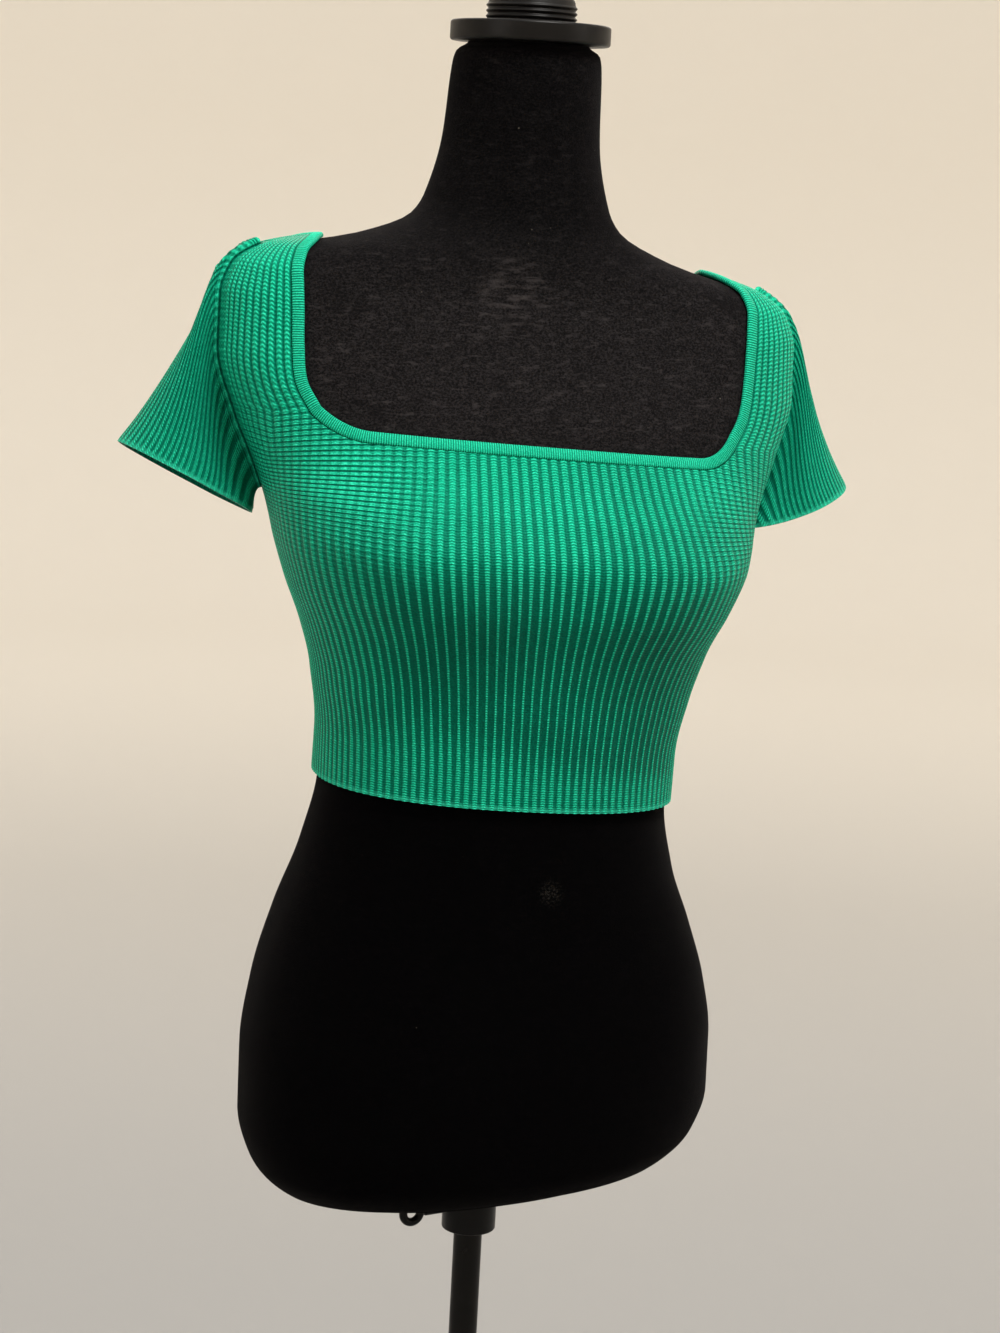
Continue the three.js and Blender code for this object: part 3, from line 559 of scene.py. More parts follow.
class Skin:
    """A growing mesh of points, quads and triangles, with knit marks at each point."""

    def __init__(self):
        self.points, self.marks, self.quads, self.triangles = [], [], [], []
        self.count = 0

    def add(self, points, **marks):
        """Adds a block of points and returns their numbers in the block's shape."""
        shape = points.shape[:-1]
        numbers = self.count + np.arange(np.prod(shape)).reshape(shape)
        self.points.append(points.reshape(-1, 3))
        self.marks.append({name: np.broadcast_to(value, shape).reshape(-1) for name, value in marks.items()})
        self.count += numbers.size
        return numbers

    def grid(self, numbers, flip=False):
        a, b, c, d = numbers[:-1, :-1], numbers[:-1, 1:], numbers[1:, 1:], numbers[1:, :-1]
        faces = np.stack([a, d, c, b] if flip else [a, b, c, d], -1).reshape(-1, 4)
        self.quads.append(faces)

    def rim(self, outer, inner, flip=False):
        """Closes the strip between a fine outer edge and a coarser inner edge of the same length."""
        step = (len(outer) - 1) // (len(inner) - 1)
        faces = []
        for k in range(len(inner) - 1):
            run = outer[k * step : k * step + step + 1]
            turn = step // 2
            for i in range(step):
                if i == turn:
                    faces.append((inner[k], inner[k + 1], run[i]))
                faces.append((run[i + 1], run[i], inner[k] if i < turn else inner[k + 1]))
        faces = np.array(faces)
        self.triangles.append(faces[:, ::-1] if flip else faces)

    def fan(self, tip, ring, flip=False):
        """Closes a ring with triangles to one point."""
        faces = np.stack([np.full(len(ring) - 1, tip), ring[:-1], ring[1:]], -1)
        self.triangles.append(faces[:, ::-1] if flip else faces)

    def build(self, name, wrap=None):
        """Makes the object in metres, with its marks as a UV map of ribs and courses and as attributes."""
        points = np.vstack(self.points) * MM
        quads = np.vstack(self.quads) if self.quads else np.zeros((0, 4), int)
        triangles = np.vstack(self.triangles) if self.triangles else np.zeros((0, 3), int)
        corners = np.concatenate([quads.reshape(-1), triangles.reshape(-1)])
        sizes = np.concatenate([np.full(len(quads), 4), np.full(len(triangles), 3)])
        mesh = bpy.data.meshes.new(name)
        mesh.vertices.add(len(points))
        mesh.vertices.foreach_set("co", points.reshape(-1))
        mesh.loops.add(len(corners))
        mesh.loops.foreach_set("vertex_index", corners)
        mesh.polygons.add(len(sizes))
        mesh.polygons.foreach_set("loop_start", np.concatenate([[0], np.cumsum(sizes)[:-1]]))
        mesh.polygons.foreach_set("use_smooth", np.ones(len(sizes), bool))
        mesh.update(calc_edges=True)
        names = {key for block in self.marks for key in block}
        marks = {}
        for key in names:
            blocks = [block.get(key, np.zeros(len(p))) for block, p in zip(self.marks, self.points)]
            marks[key] = np.concatenate(blocks)
        if "rib" in marks:
            u, v = marks.pop("rib")[corners], marks.pop("course")[corners]
            if wrap:
                u = unwrap(u, sizes, wrap)
            layer = mesh.uv_layers.new(name="knit")
            layer.data.foreach_set("uv", np.stack([u, v], -1).reshape(-1))
        for key, value in sorted(marks.items()):
            attribute = mesh.attributes.new(key, "FLOAT", "POINT")
            attribute.data.foreach_set("value", value.astype(np.float32))
        mesh.set_sharp_from_angle(angle=SHARP_EDGE)
        mesh.validate()
        piece = bpy.data.objects.new(name, mesh)
        bpy.context.scene.collection.objects.link(piece)
        return piece


def closed(numbers, both_ways=False):
    """Repeats the first column at the end, and the first row too where both ways close."""
    if both_ways:
        numbers = np.vstack([numbers, numbers[:1]])
    return np.hstack([numbers, numbers[:, :1]])


def unwrap(u, sizes, wrap):
    """Where a face steps over the start of a ring, its low counts go on past the last rib."""
    face = np.repeat(np.arange(len(sizes)), sizes)
    highest = np.zeros(len(sizes))
    np.maximum.at(highest, face, u)
    return np.where(highest[face] - u > wrap / 2, u + wrap, u)


def knit_marks(plan, points, column, courses):
    """How each point of a panel is knitted: its rib and course, and where ribs fade, open or end. Where ribs
    open, the painted light on them spreads too.
    """
    panel = plan["panel"]
    x, drop = points[..., 0], CAP_HEIGHT - points[..., 2]
    rib = np.broadcast_to(column / COLUMNS_PER_RIB, x.shape)
    fade = np.zeros(x.shape)
    fan = np.zeros(x.shape)
    for centre, level, wide, tall, strength in panel["fades"]:
        fade = fade + strength * bell((x - centre) / wide, (drop - level) / tall)
        beside = np.exp(-np.abs(np.abs(x) - FAN_OUT) / FAN_WIDE)
        to_underarm = beside * bell((drop - UNDERARM_DROP) / FAN_TALL)
        fan = np.maximum(fan, FAN_SHARE * strength * to_underarm)
    courses = courses - fan * (drop - UNDERARM_DROP) / COURSE
    # Towards the chest, near the hem and at the sides the ribs open, and their painted light spreads
    lit_chest = sum(share * smooth(start, end, drop) for start, end, share in OPEN_LIT_CHEST)
    hem_start = HEM_DROP - mix(OPEN_LIT_HEM_LEFT, OPEN_LIT_HEM_RIGHT, smooth(60, -90, x))
    open_and_lit_rib = np.maximum(lit_chest, OPEN_LIT_HEM_SHARE * smooth(hem_start, HEM_DROP - 10, drop))
    sides = OPEN_LIT_SIDE_SHARE * smooth(OPEN_LIT_SIDE_FROM, OPEN_LIT_SIDE_TO, np.abs(x))
    open_and_lit_rib = np.maximum(open_and_lit_rib, sides)
    from_edge = np.minimum(rib, panel["ribs"] - rib)
    above = smooth(UNDERARM_DROP + 4, UNDERARM_DROP - 6, drop)
    ladder = above * smooth(LADDER_RIBS + 0.12, LADDER_RIBS - 0.12, from_edge)
    hem = smooth(HEM_DROP - 2.6, HEM_DROP - 1.4, drop)
    return {
        "rib": rib,
        "course": courses,
        "fade": np.clip(fade, 0, 1),
        "ladder": ladder,
        "open": open_and_lit_rib,
        "hem": hem,
        "inside": np.zeros(x.shape),
    }


def rib_rise(marks):
    """The height of the ribs over their grooves, in millimetres.

    Ribs are lower where they close up and nearly flat where they fade. The ladder's bars lie in
    between.
    """
    ridge = np.abs(np.sin(PI * marks["rib"]))
    shape = ridge ** mix(CREST_THIN, CREST_BROAD, marks["open"])
    rise = mix(CLOSED_SHARE, 1.0, marks["open"]) * RIB_RISE * shape * (1 - FADE_LOSS * marks["fade"])
    bars = LADDER_WAVE * np.cos(2 * PI * marks["course"] * COURSE / LADDER_PITCH)
    return mix(rise, LADDER_RISE + bars, marks["ladder"])


def crease_lift(panel, points):
    """The soft ridges and troughs of the worn cloth, in millimetres."""
    x, drop = points[..., 0], CAP_HEIGHT - points[..., 2]
    lift = np.zeros(x.shape)
    for x_start, drop_start, x_end, drop_end, wide, height in panel["creases"]:
        run_x, run_drop = x_end - x_start, drop_end - drop_start
        length = math.hypot(run_x, run_drop)
        along = ((x - x_start) * run_x + (drop - drop_start) * run_drop) / length**2
        off = ((x - x_start) * run_drop - (drop - drop_start) * run_x) / length
        ends = smooth(-0.15, 0.3, along) * smooth(1.15, 0.6, along)
        lift = lift + height * bell(off / wide) * ends
    return lift


def add_cloth(skin, panel, points, marks):
    """Adds the outer face of a panel, with its ribs and creases."""
    rise = rib_rise(marks) + crease_lift(panel, points)
    return skin.add(leaned(raised(points, CLOTH_GAP + WALL + rise)), **marks)


def add_lining(skin, panel, points):
    """Adds the plain inner face of a panel, coarser than the outer one."""
    # The inside mark gives this face painted shade
    plain = {"rib": 0.5, "course": 0.0, "fade": 0.0, "ladder": 0.0, "open": 1.0, "hem": 0.0, "inside": 1.0}
    return skin.add(leaned(raised(points, CLOTH_GAP + crease_lift(panel, points))), **plain)


def panel_piece(name, panel):
    """A panel with its body and straps: an outer face, an inner face and the rims between them."""
    plan = plan_panel(panel)
    rows_below, rows_above, strap_rows = panel["rows"]
    columns, strap = plan["columns"], plan["strap"]
    body_rows = rows_below + rows_above
    rows = body_rows + strap_rows
    skin = Skin()
    outer = np.full((rows + 1, columns + 1), -1)
    inner = np.full((rows + 1, columns + 1), -1)
    body = body_points(plan, rows_below, rows_above)
    column = np.arange(columns + 1)[None, :]
    hem = CAP_HEIGHT - HEM_DROP
    marks = knit_marks(plan, body, column, (body[..., 2] - hem) / COURSE)
    outer[: body_rows + 1] = add_cloth(skin, panel, body, marks)
    fine = (slice(None, None, INNER_ROWS), slice(None, None, INNER_COLUMNS))
    inner[: body_rows + 1][fine] = add_lining(skin, panel, body[fine])
    strap_edge = {}
    for first in (True, False):
        points = strap_points(plan, first, strap_rows)
        across = slice(0, strap + 1) if first else slice(columns - strap, columns + 1)
        lengths = np.cumsum(np.linalg.norm(np.diff(points, axis=0), axis=2), axis=0)
        courses = (body[body_rows, across, 2] - hem) / COURSE + lengths / STRAP_COURSE
        marks = knit_marks(plan, points[1:], column[:, across], courses)
        outer[body_rows + 1 :, across] = add_cloth(skin, panel, points[1:], marks)
        lining = add_lining(skin, panel, points[INNER_ROWS::INNER_ROWS, ::INNER_COLUMNS])
        inner[body_rows + INNER_ROWS :: INNER_ROWS, across][:, ::INNER_COLUMNS] = lining
        strap_edge[first] = points
    blocks = [
        (slice(0, body_rows + 1), slice(0, columns + 1)),
        (slice(body_rows, rows + 1), slice(0, strap + 1)),
        (slice(body_rows, rows + 1), slice(columns - strap, columns + 1)),
    ]
    for block in blocks:
        skin.grid(outer[block])
        skin.grid(inner[block][fine], flip=True)
    whole, straps = slice(None), slice(body_rows, None)
    left, right = strap, columns - strap
    neck = slice(left, right + 1)
    # Once round the panel: hem, side, shoulder, strap, neckline, strap, shoulder and side
    edges = [
        (0, whole, 1),
        (whole, columns, 1),
        (rows, slice(right, None), -1),
        (straps, right, -1),
        (body_rows, neck, -1),
        (straps, left, 1),
        (rows, slice(0, left + 1), -1),
        (whole, 0, -1),
    ]
    for row, across, way in edges:
        step = INNER_ROWS if isinstance(row, slice) else INNER_COLUMNS
        skin.rim(outer[row, across][::way], inner[row, across][::step][::way])
    neckline = np.vstack([strap_edge[True][::-1, -1], body[body_rows, neck], strap_edge[False][:, 0]])
    return skin.build(name), neckline


def armhole_run():
    """The armhole's edge, from the underarm up the front and down the back: points, turns and lengths."""
    turn = np.linspace(0, PI, 160)
    points = np.vstack([armhole_point(FRONT, turn), armhole_point(BACK, turn)[::-1][1:]])
    turns = np.concatenate([turn, 2 * PI - turn[::-1][1:]])
    lengths = lengths_along(points)
    return points, turns, lengths / lengths[-1]


def read_run(run, share):
    """The place and the turn at a share of the way round the armhole."""
    points, turns, lengths = run
    share = np.mod(share, 1)
    place_at = np.stack([np.interp(share, lengths, points[:, k]) for k in range(3)], -1)
    return place_at, np.interp(share, lengths, turns)


def share_at(run, turn):
    return np.interp(turn, run[1], run[2])


def sleeve_points(columns, rows, side):
    """A sleeve's plain inner face on the wearer's left, from the armhole over a swell to the cuff."""
    run = armhole_run()
    share = (np.arange(columns) / COLUMNS_PER_RIB + SLEEVE_SHIFT) / SLEEVE_RIBS
    turn = read_run(run, share)[1]
    share = share_at(run, turn + SLEEVE_SWEEP * np.sin(turn))
    edge, root_turn = read_run(run, share)
    edge = onto_form(edge)
    normal = normal_at(edge)
    aside = 0.02
    before, after = read_run(run, share - aside)[0], read_run(run, share + aside)[0]
    inward = unit(np.cross(unit(after - before), normal))
    towards = place(*ARMHOLE_MIDDLE) - edge
    inward *= np.where((inward * towards).sum(-1, keepdims=True) < 0, -1, 1)
    inset = SEAM_GAP + WALL + RIB_RISE + SLEEVE_INSET
    root = onto_form(edge + inward * inset) + normal * CLOTH_GAP
    start = root + normal * SLEEVE_STAND
    high = (np.sin(turn / 2) ** 2)[:, None]
    forward = CUFF_SHORT * CUFF_SHORT_HALF + np.array([0, 0, CUFF_TIP[side]])
    cuff = place(*CUFF_CENTRE) + np.array([0, 0, side * CUFF_HANG])
    cuff = cuff - CUFF_LONG * CUFF_LONG_HALF * np.cos(turn)[:, None] + forward * np.sin(turn)[:, None]
    fall = mix(FALL_UNDER, FALL_TOP, high)
    leave = start + normal * mix(PUFF_UNDER, PUFF_TOP, (np.sin(root_turn / 2) ** 2)[:, None])
    arrive = cuff - fall * mix(FLARE_UNDER, FLARE_TOP, high)
    t = np.linspace(0, 1, rows + 1)[:, None, None]
    curve = start * (1 - t) ** 3 + 3 * leave * t * (1 - t) ** 2 + 3 * arrive * t**2 * (1 - t) + cuff * t**3
    stand = root + (start - root) * np.array([0, 0.33, 0.67])[:, None, None]
    points = np.concatenate([stand, curve])
    along = np.concatenate([[0, 0, 0], np.linspace(0, 1, rows + 1)])[:, None]
    dip = np.zeros(points.shape[:-1])
    for centre, wide, low, top, depth in SLEEVE_FOLDS[side]:
        off = np.abs(np.mod(turn - centre + PI, 2 * PI) - PI)[None, :]
        shape = bell(off / wide) * smooth(low, mix(low, top, 0.5), along)
        dip -= depth * shape * smooth(top + 0.25, mix(low, top, 0.5), along)
    return points + ring_normals(points) * dip[..., None]


def ring_normals(points):
    """Outward directions on a sleeve's rings of points."""
    around = np.roll(points, -1, axis=1) - np.roll(points, 1, axis=1)
    down = np.gradient(points, axis=0)
    return unit(np.cross(down, around))


def sleeve_piece(name, side):
    """A sleeve on either side, with its ribs, its seam and the turned rim of its cuff."""
    columns = SLEEVE_RIBS * COLUMNS_PER_RIB
    inner_points = sleeve_points(columns, SLEEVE_ROWS, side)
    rows = len(inner_points) - 1
    lengths = np.linalg.norm(np.diff(inner_points, axis=0), axis=2)
    courses = np.vstack([np.zeros(columns), np.cumsum(lengths, axis=0)]) / SLEEVE_COURSE
    rib = np.broadcast_to(np.arange(columns) / COLUMNS_PER_RIB, courses.shape)
    rim = smooth(3.5, 1.2, lengths[::-1].cumsum(axis=0)[::-1])
    rim = np.vstack([rim, np.ones(columns)])
    rim[: rows // 2] = 0
    grown = mix(0.3, 1.0, smooth(0.4, 4.5, courses))
    rise = 0.7 * RIB_RISE * np.abs(np.sin(PI * rib)) ** 0.9 * (1 - 0.75 * rim) * grown
    outer_points = inner_points + ring_normals(inner_points) * (WALL + rise)[..., None]
    mirror = np.array([side, 1, 1])
    skin = Skin()
    seam = smooth(5.0, 0.5, courses)
    plain = {"ladder": 0.0, "open": 0.75}
    marks = {"rib": rib, "course": courses, "fade": 0.7 * seam, "hem": rim, "inside": 0.0}
    outer = closed(skin.add(leaned(outer_points * mirror), **marks, **plain))
    half = (slice(None), slice(None, None, 2))
    marks = {"rib": rib[half], "course": courses[half], "fade": 0.0, "hem": 0.0, "inside": 1.0}
    inner = closed(skin.add(leaned(inner_points[half] * mirror), **marks, **plain))
    flip = side > 0
    skin.grid(outer, flip=flip)
    skin.grid(inner, flip=not flip)
    skin.rim(outer[rows], inner[rows], flip=not flip)
    skin.rim(outer[0], inner[0], flip=flip)
    return skin.build(name, wrap=SLEEVE_RIBS)


def closed_even(line, steps):
    """A closed line at even lengths, with its kinks eased."""
    loop = at_even_lengths(np.vstack([line, line[:1]]), steps)[:-1]
    for _ in range(12):
        loop = (np.roll(loop, 1, axis=0) + 2 * loop + np.roll(loop, -1, axis=0)) / 4
    return loop


def band_piece(name, front_neck, back_neck):
    """The rolled band round the neckline, with its fine cross ridges."""
    edge = np.vstack([front_neck, back_neck])
    length = np.linalg.norm(edge - np.roll(edge, 1, axis=0), axis=1).sum()
    ridges = int(length / BAND_RIDGE)
    steps = ridges * BAND_STEPS
    edge = onto_form(closed_even(edge, steps))
    normal = normal_at(edge)
    tangent = unit(np.roll(edge, -6, axis=0) - np.roll(edge, 6, axis=0))
    inward = unit(np.cross(normal, tangent))
    half = BAND_WIDTH / 2
    middle = onto_form(edge + inward * (BAND_SEAM + half))
    # The section is a rounded oblong
    round_section = np.linspace(0, 2 * PI, 16, endpoint=False)
    cos, sin = np.cos(round_section), np.sin(round_section)
    across = half * np.sign(cos) * np.abs(cos) ** 0.6
    up = np.sign(sin) * np.abs(sin) ** 0.7
    count = np.arange(steps) / BAND_STEPS
    ridge = 0.13 * np.cos(2 * PI * count)[:, None] * np.clip(up + 0.5, 0, 1)[None, :]
    lift = mix(BAND_CLEAR, CLOTH_GAP + BAND_THICK, (up[None, :] + 1) / 2) + ridge
    points = middle[:, None] + inward[:, None] * across[None, :, None]
    points = points + normal[:, None] * lift[..., None]
    skin = Skin()
    rib = np.broadcast_to(count[:, None], lift.shape)
    course = np.broadcast_to((round_section / PI)[None, :], lift.shape)
    skin.grid(closed(skin.add(leaned(points), rib=rib, course=course), both_ways=True))
    return skin.build(name, wrap=ridges)


def form_piece(name, sides=160):
    """The form: smooth rings from the neck's rolled edge to the flat underside."""
    rim = [FORM_TOP_DROP, 7.4, 8.8, 10.4, 12.5, 15]
    hips = np.arange(700, FORM_BOTTOM_DROP - 2, 2.5)
    foot = FORM_BOTTOM_DROP - np.array([1.4, 0.6, 0])
    drops = np.concatenate([rim, np.arange(18, 700, 4.0), hips, foot])
    angle = np.linspace(0, 2 * PI, sides, endpoint=False)
    skin = Skin()
    rings = closed(skin.add(leaned(on_form(angle[None, :], CAP_HEIGHT - drops[:, None]))))
    skin.grid(rings, flip=True)
    heights = CAP_HEIGHT - drops[[0, -1]]
    ends = skin.add(np.array([(0, middle_at(z), z) for z in heights]))
    skin.fan(ends[0], rings[0])
    skin.fan(ends[1], rings[-1], flip=True)
    return skin.build(name)


def turned_points(rings, sides):
    """Points all round the Z axis, from rings given by their radius and height."""
    angle = np.linspace(0, 2 * PI, sides, endpoint=False)
    circle = np.stack([np.cos(angle), np.sin(angle)], -1)
    heights = np.broadcast_to(rings[:, None, 1:], (len(rings), sides, 1))
    return np.concatenate([rings[:, None, :1] * circle[None], heights], -1)


def turned_piece(name, profile, sides=96, moved=lambda points: points):
    """A turned piece. Its profile starts and ends on the axis or closes on itself."""
    profile = np.array(profile, float)
    solid = profile[0, 0] == 0
    rings = profile[1:-1] if solid else profile[:-1]
    skin = Skin()
    numbers = closed(skin.add(moved(turned_points(rings, sides))), both_ways=not solid)
    skin.grid(numbers)
    if solid:
        ends = skin.add(moved(np.array([(0, 0, profile[0, 1]), (0, 0, profile[-1, 1])])))
        skin.fan(ends[0], numbers[0], flip=True)
        skin.fan(ends[1], numbers[-1])
    return skin.build(name)


def rounded_edge(radius, z, edge, rising):
    """A quarter round in a profile, from the face to the side or from the side to the face."""
    turns = np.linspace(0, PI / 2, 6)
    if rising:
        return [(radius - edge + edge * math.sin(t), z + edge - edge * math.cos(t)) for t in turns]
    return [(radius - edge + edge * math.cos(t), z - edge + edge * math.sin(t)) for t in turns]


def turned_side(radius, low, high, edge):
    return rounded_edge(radius, low, edge, True) + rounded_edge(radius, high, edge, False)


def disc_profile(radius, low, high, edge):
    return [(0, low), *turned_side(radius, low, high, edge), (0, high)]


def tube_profile(bore, radius, low, high, edge):
    return [(bore, low), *turned_side(radius, low, high, edge), (bore, high), (bore, low)]


def nut_profile():
    """The knob on the cap: a collar, a threaded boss of round rings and a low dome."""
    low = CAP_THICK / 2 + SEAM_GAP
    thread_foot = low + 1.3
    profile = [(0, low), *rounded_edge(NUT_RADIUS, low, 0.3, True), (NUT_RADIUS, low + 0.9)]
    for step in range(NUT_RINGS * NUT_STEPS + 1):
        crest = (1 - math.cos(2 * PI * step / NUT_STEPS)) / 2
        profile.append((NUT_COLLAR + NUT_THREAD * crest, thread_foot + NUT_PITCH * step / NUT_STEPS))
    shoulder = thread_foot + NUT_PITCH * NUT_RINGS
    top = low + NUT_HEIGHT
    for t in np.linspace(0.12, 1, 9) * PI / 2:
        profile.append((NUT_COLLAR * math.cos(t) ** 0.6, mix(shoulder, top, math.sin(t))))
    profile[-1] = (0, top)
    return profile


def lifted(z):
    """A move up by z."""
    return lambda points: points + np.array([0, 0, z])


def along_screw(points):
    """From the screw's own axis, which is +Z, to its place on the clamp."""
    x, y, z = points[..., 2], points[..., 0], points[..., 1]
    cos, sin = math.cos(SCREW_YAW), math.sin(SCREW_YAW)
    return np.stack([x * cos - y * sin, x * sin + y * cos, z + CAP_HEIGHT - SCREW_DROP], -1)


def ring_piece(name, steps=48, sides=16):
    """The ring at the screw's end, upright and in line with the screw."""
    skin = Skin()
    round_ring = np.linspace(0, 2 * PI, steps, endpoint=False)[:, None]
    round_wire = np.linspace(0, 2 * PI, sides, endpoint=False)[None, :]
    radius = EYE_RADIUS + EYE_WIRE * np.cos(round_wire)
    across = EYE_WIRE * np.sin(round_wire) + 0 * round_ring
    up, along = radius * np.sin(round_ring), SCREW_REACH + radius * np.cos(round_ring)
    numbers = skin.add(along_screw(np.stack([across, up, along], -1)))
    skin.grid(closed(numbers, both_ways=True))
    return skin.build(name)


class Shader:
    """A material's nodes, put down one at a time."""

    def __init__(self, name):
        self.material = bpy.data.materials.new(name)
        self.material.use_nodes = True
        self.tree = self.material.node_tree
        self.surface = self.tree.nodes["Principled BSDF"]

    def node(self, kind, inputs, **settings):
        made = self.tree.nodes.new(kind)
        for name, value in settings.items():
            setattr(made, name, value)
        for name, value in inputs.items():
            self.feed(made.inputs[name], value)
        return made

    def feed(self, socket, value):
        if isinstance(value, bpy.types.NodeSocket):
            self.tree.links.new(value, socket)
        else:
            socket.default_value = value

    def fix(self, values):
        """Sets what is the same all over the surface."""
        for name, value in values.items():
            self.surface.inputs[name].default_value = value

    def maths(self, operation, *values):
        return self.node("ShaderNodeMath", dict(enumerate(values)), operation=operation).outputs[0]

    def times(self, first, second):
        return self.maths("MULTIPLY", first, second)

    def line(self, value, slope, start):
        return self.maths("MULTIPLY_ADD", value, slope, start)

    def between(self, value, low, high, out_low=0.0, out_high=1.0):
        inputs = {"Value": value, "From Min": low, "From Max": high, "To Min": out_low, "To Max": out_high}
        made = self.node("ShaderNodeMapRange", inputs, interpolation_type="SMOOTHSTEP")
        return made.outputs["Result"]

    def blend(self, share, first, second):
        made = self.node("ShaderNodeMix", {"Factor": share, 6: first, 7: second}, data_type="RGBA")
        return made.outputs[2]

    def mix_value(self, share, first, second):
        made = self.node("ShaderNodeMix", {"Factor": share, 2: first, 3: second}, data_type="FLOAT")
        return made.outputs[0]

    def where(self):
        """Each point's place on the object, in metres."""
        return self.node("ShaderNodeTexCoord", {}).outputs["Object"]

    def parts(self, vector):
        return self.node("ShaderNodeSeparateXYZ", {"Vector": vector}).outputs

    def counts(self):
        """The rib count and the course count."""
        parts = self.parts(self.node("ShaderNodeUVMap", {}, uv_map="knit").outputs["UV"])
        return parts["X"], parts["Y"]

    def drawn_out(self, where, scale):
        return self.node("ShaderNodeMapping", {"Vector": where, "Scale": scale}).outputs["Vector"]

    def noise(self, where, scale, detail, rough):
        inputs = {"Vector": where, "Scale": scale, "Detail": detail, "Roughness": rough}
        return self.node("ShaderNodeTexNoise", inputs).outputs["Fac"]

    def spot(self, where, middle_m, inner_m, outer_m, strength):
        """A round spot, full inside the inner radius and gone at the outer one."""
        inputs = {0: where, 1: middle_m}
        away = self.node("ShaderNodeVectorMath", inputs, operation="DISTANCE").outputs["Value"]
        return self.between(away, inner_m, outer_m, strength, 0.0)

    def attribute(self, name):
        return self.node("ShaderNodeAttribute", {}, attribute_name=name).outputs["Fac"]

    def wave(self, count):
        """Goes from 1 to 0 and back once for each whole count."""
        return self.line(self.maths("COSINE", self.times(count, 2 * PI)), 0.5, 0.5)

    def finish(self, colour, roughness, height=None, depth_m=0.0, strength=1.0):
        self.feed(self.surface.inputs["Base Color"], colour)
        self.feed(self.surface.inputs["Roughness"], roughness)
        if height is not None:
            bump = self.node("ShaderNodeBump", {"Height": height, "Distance": depth_m, "Strength": strength})
            self.feed(self.surface.inputs["Normal"], bump.outputs["Normal"])
        return self.material


YARN_GLOSS = {
    "Sheen Roughness": 0.35,
    "Sheen Tint": (0.02, 1.0, 0.6, 1),
    "Specular Tint": (0.1, 1.0, 0.7, 1),
}
YARN_ROUGHNESS = 0.42


def knit_material(name):
    """The rib knit: painted highlights on the ribs' stitches, pulled courses where they fade, the ladder's
    bars, and painted shade in the grooves, between stitches and inside.
    """
    shader = Shader(name)
    rib, course = shader.counts()
    names = ("fade", "ladder", "open", "hem", "inside")
    fade, ladder, open_and_lit_rib, hem, inside = (shader.attribute(mark) for mark in names)
    from_middle = shader.maths("ABSOLUTE", shader.maths("SUBTRACT", shader.maths("FRACT", rib), 0.5))
    crest_from, crest_to = shader.line(open_and_lit_rib, 0.17, 0.02), shader.line(open_and_lit_rib, 0.24, 0.17)
    crest = shader.between(from_middle, crest_from, crest_to, 1.0, 0.0)
    row = shader.between(shader.wave(shader.times(course, COURSE / PULLED_COURSE)), 0.04, 0.4)
    stitch = shader.mix_value(fade, shader.wave(shader.line(from_middle, 0.9, course)), row)
    bar = shader.wave(shader.times(course, COURSE / LADDER_PITCH))
    yarn = shader.where()
    fuzz = shader.noise(yarn, 900.0, 3.0, 0.6)
    broad = shader.noise(yarn, 9.0, 2.0, 0.5)

    # Light falls on the crests, on the pulled courses and on the ladder's bars
    light = shader.mix_value(fade, crest, shader.times(row, shader.line(crest, 0.4, 0.6)))
    light = shader.mix_value(ladder, light, shader.line(bar, 0.5, 0.2))
    # The crests show the ridges' green, the rest painted groove shade, lighter where the ribs lie open
    colour = shader.blend(light, shader.blend(open_and_lit_rib, PAINTED_DEEP_SHADE, PAINTED_GROOVE_SHADE), RIDGE)
    # Painted glints on the stitches' beads, scattered by noise and weaker where the ribs lie open
    spark = shader.between(shader.noise(yarn, 620.0, 2.0, 0.7), 0.46, 0.62)
    bead_highlight = shader.maths("SUBTRACT", 0.9, shader.times(open_and_lit_rib, 0.35))
    bead_highlight = shader.times(bead_highlight, shader.line(spark, 0.6, 0.4))
    colour = shader.blend(shader.times(light, shader.times(stitch, bead_highlight)), colour, PAINTED_HIGHLIGHT)

    # Painted shade between stitches, between pulled courses and on the cloth's inside, and a painted
    # highlight at the hem's edge
    shade_between_stitches = shader.times(shader.maths("SUBTRACT", 1.0, stitch), 0.42)
    colour = shader.blend(shade_between_stitches, colour, PAINTED_DEEP_SHADE)
    shade_between_rows = shader.times(shader.maths("SUBTRACT", 1.0, row), shader.times(fade, 0.95))
    colour = shader.blend(shade_between_rows, colour, PAINTED_DEEP_SHADE)
    colour = shader.blend(shader.times(hem, 0.3), colour, PAINTED_HIGHLIGHT)
    colour = shader.blend(shader.times(inside, 0.8), colour, PAINTED_DEEP_SHADE)
    uneven = shader.between(broad, 0.3, 0.7, -0.1, 0.1)
    tone = shader.maths("ADD", uneven, shader.between(fuzz, 0.3, 0.7, 0.75, 1.2))
    colour = shader.node("ShaderNodeHueSaturation", {"Value": tone, "Color": colour}).outputs["Color"]
    height = shader.times(stitch, shader.line(light, 0.7, 0.3))
    height = shader.maths("ADD", height, shader.times(fuzz, 0.5))
    height = shader.maths("ADD", height, shader.times(row, shader.times(fade, 1.4)))
    shader.fix({**YARN_GLOSS, "Sheen Weight": 0.10, "Specular IOR Level": 0.2})
    return shader.finish(colour, YARN_ROUGHNESS, height, 0.0006)


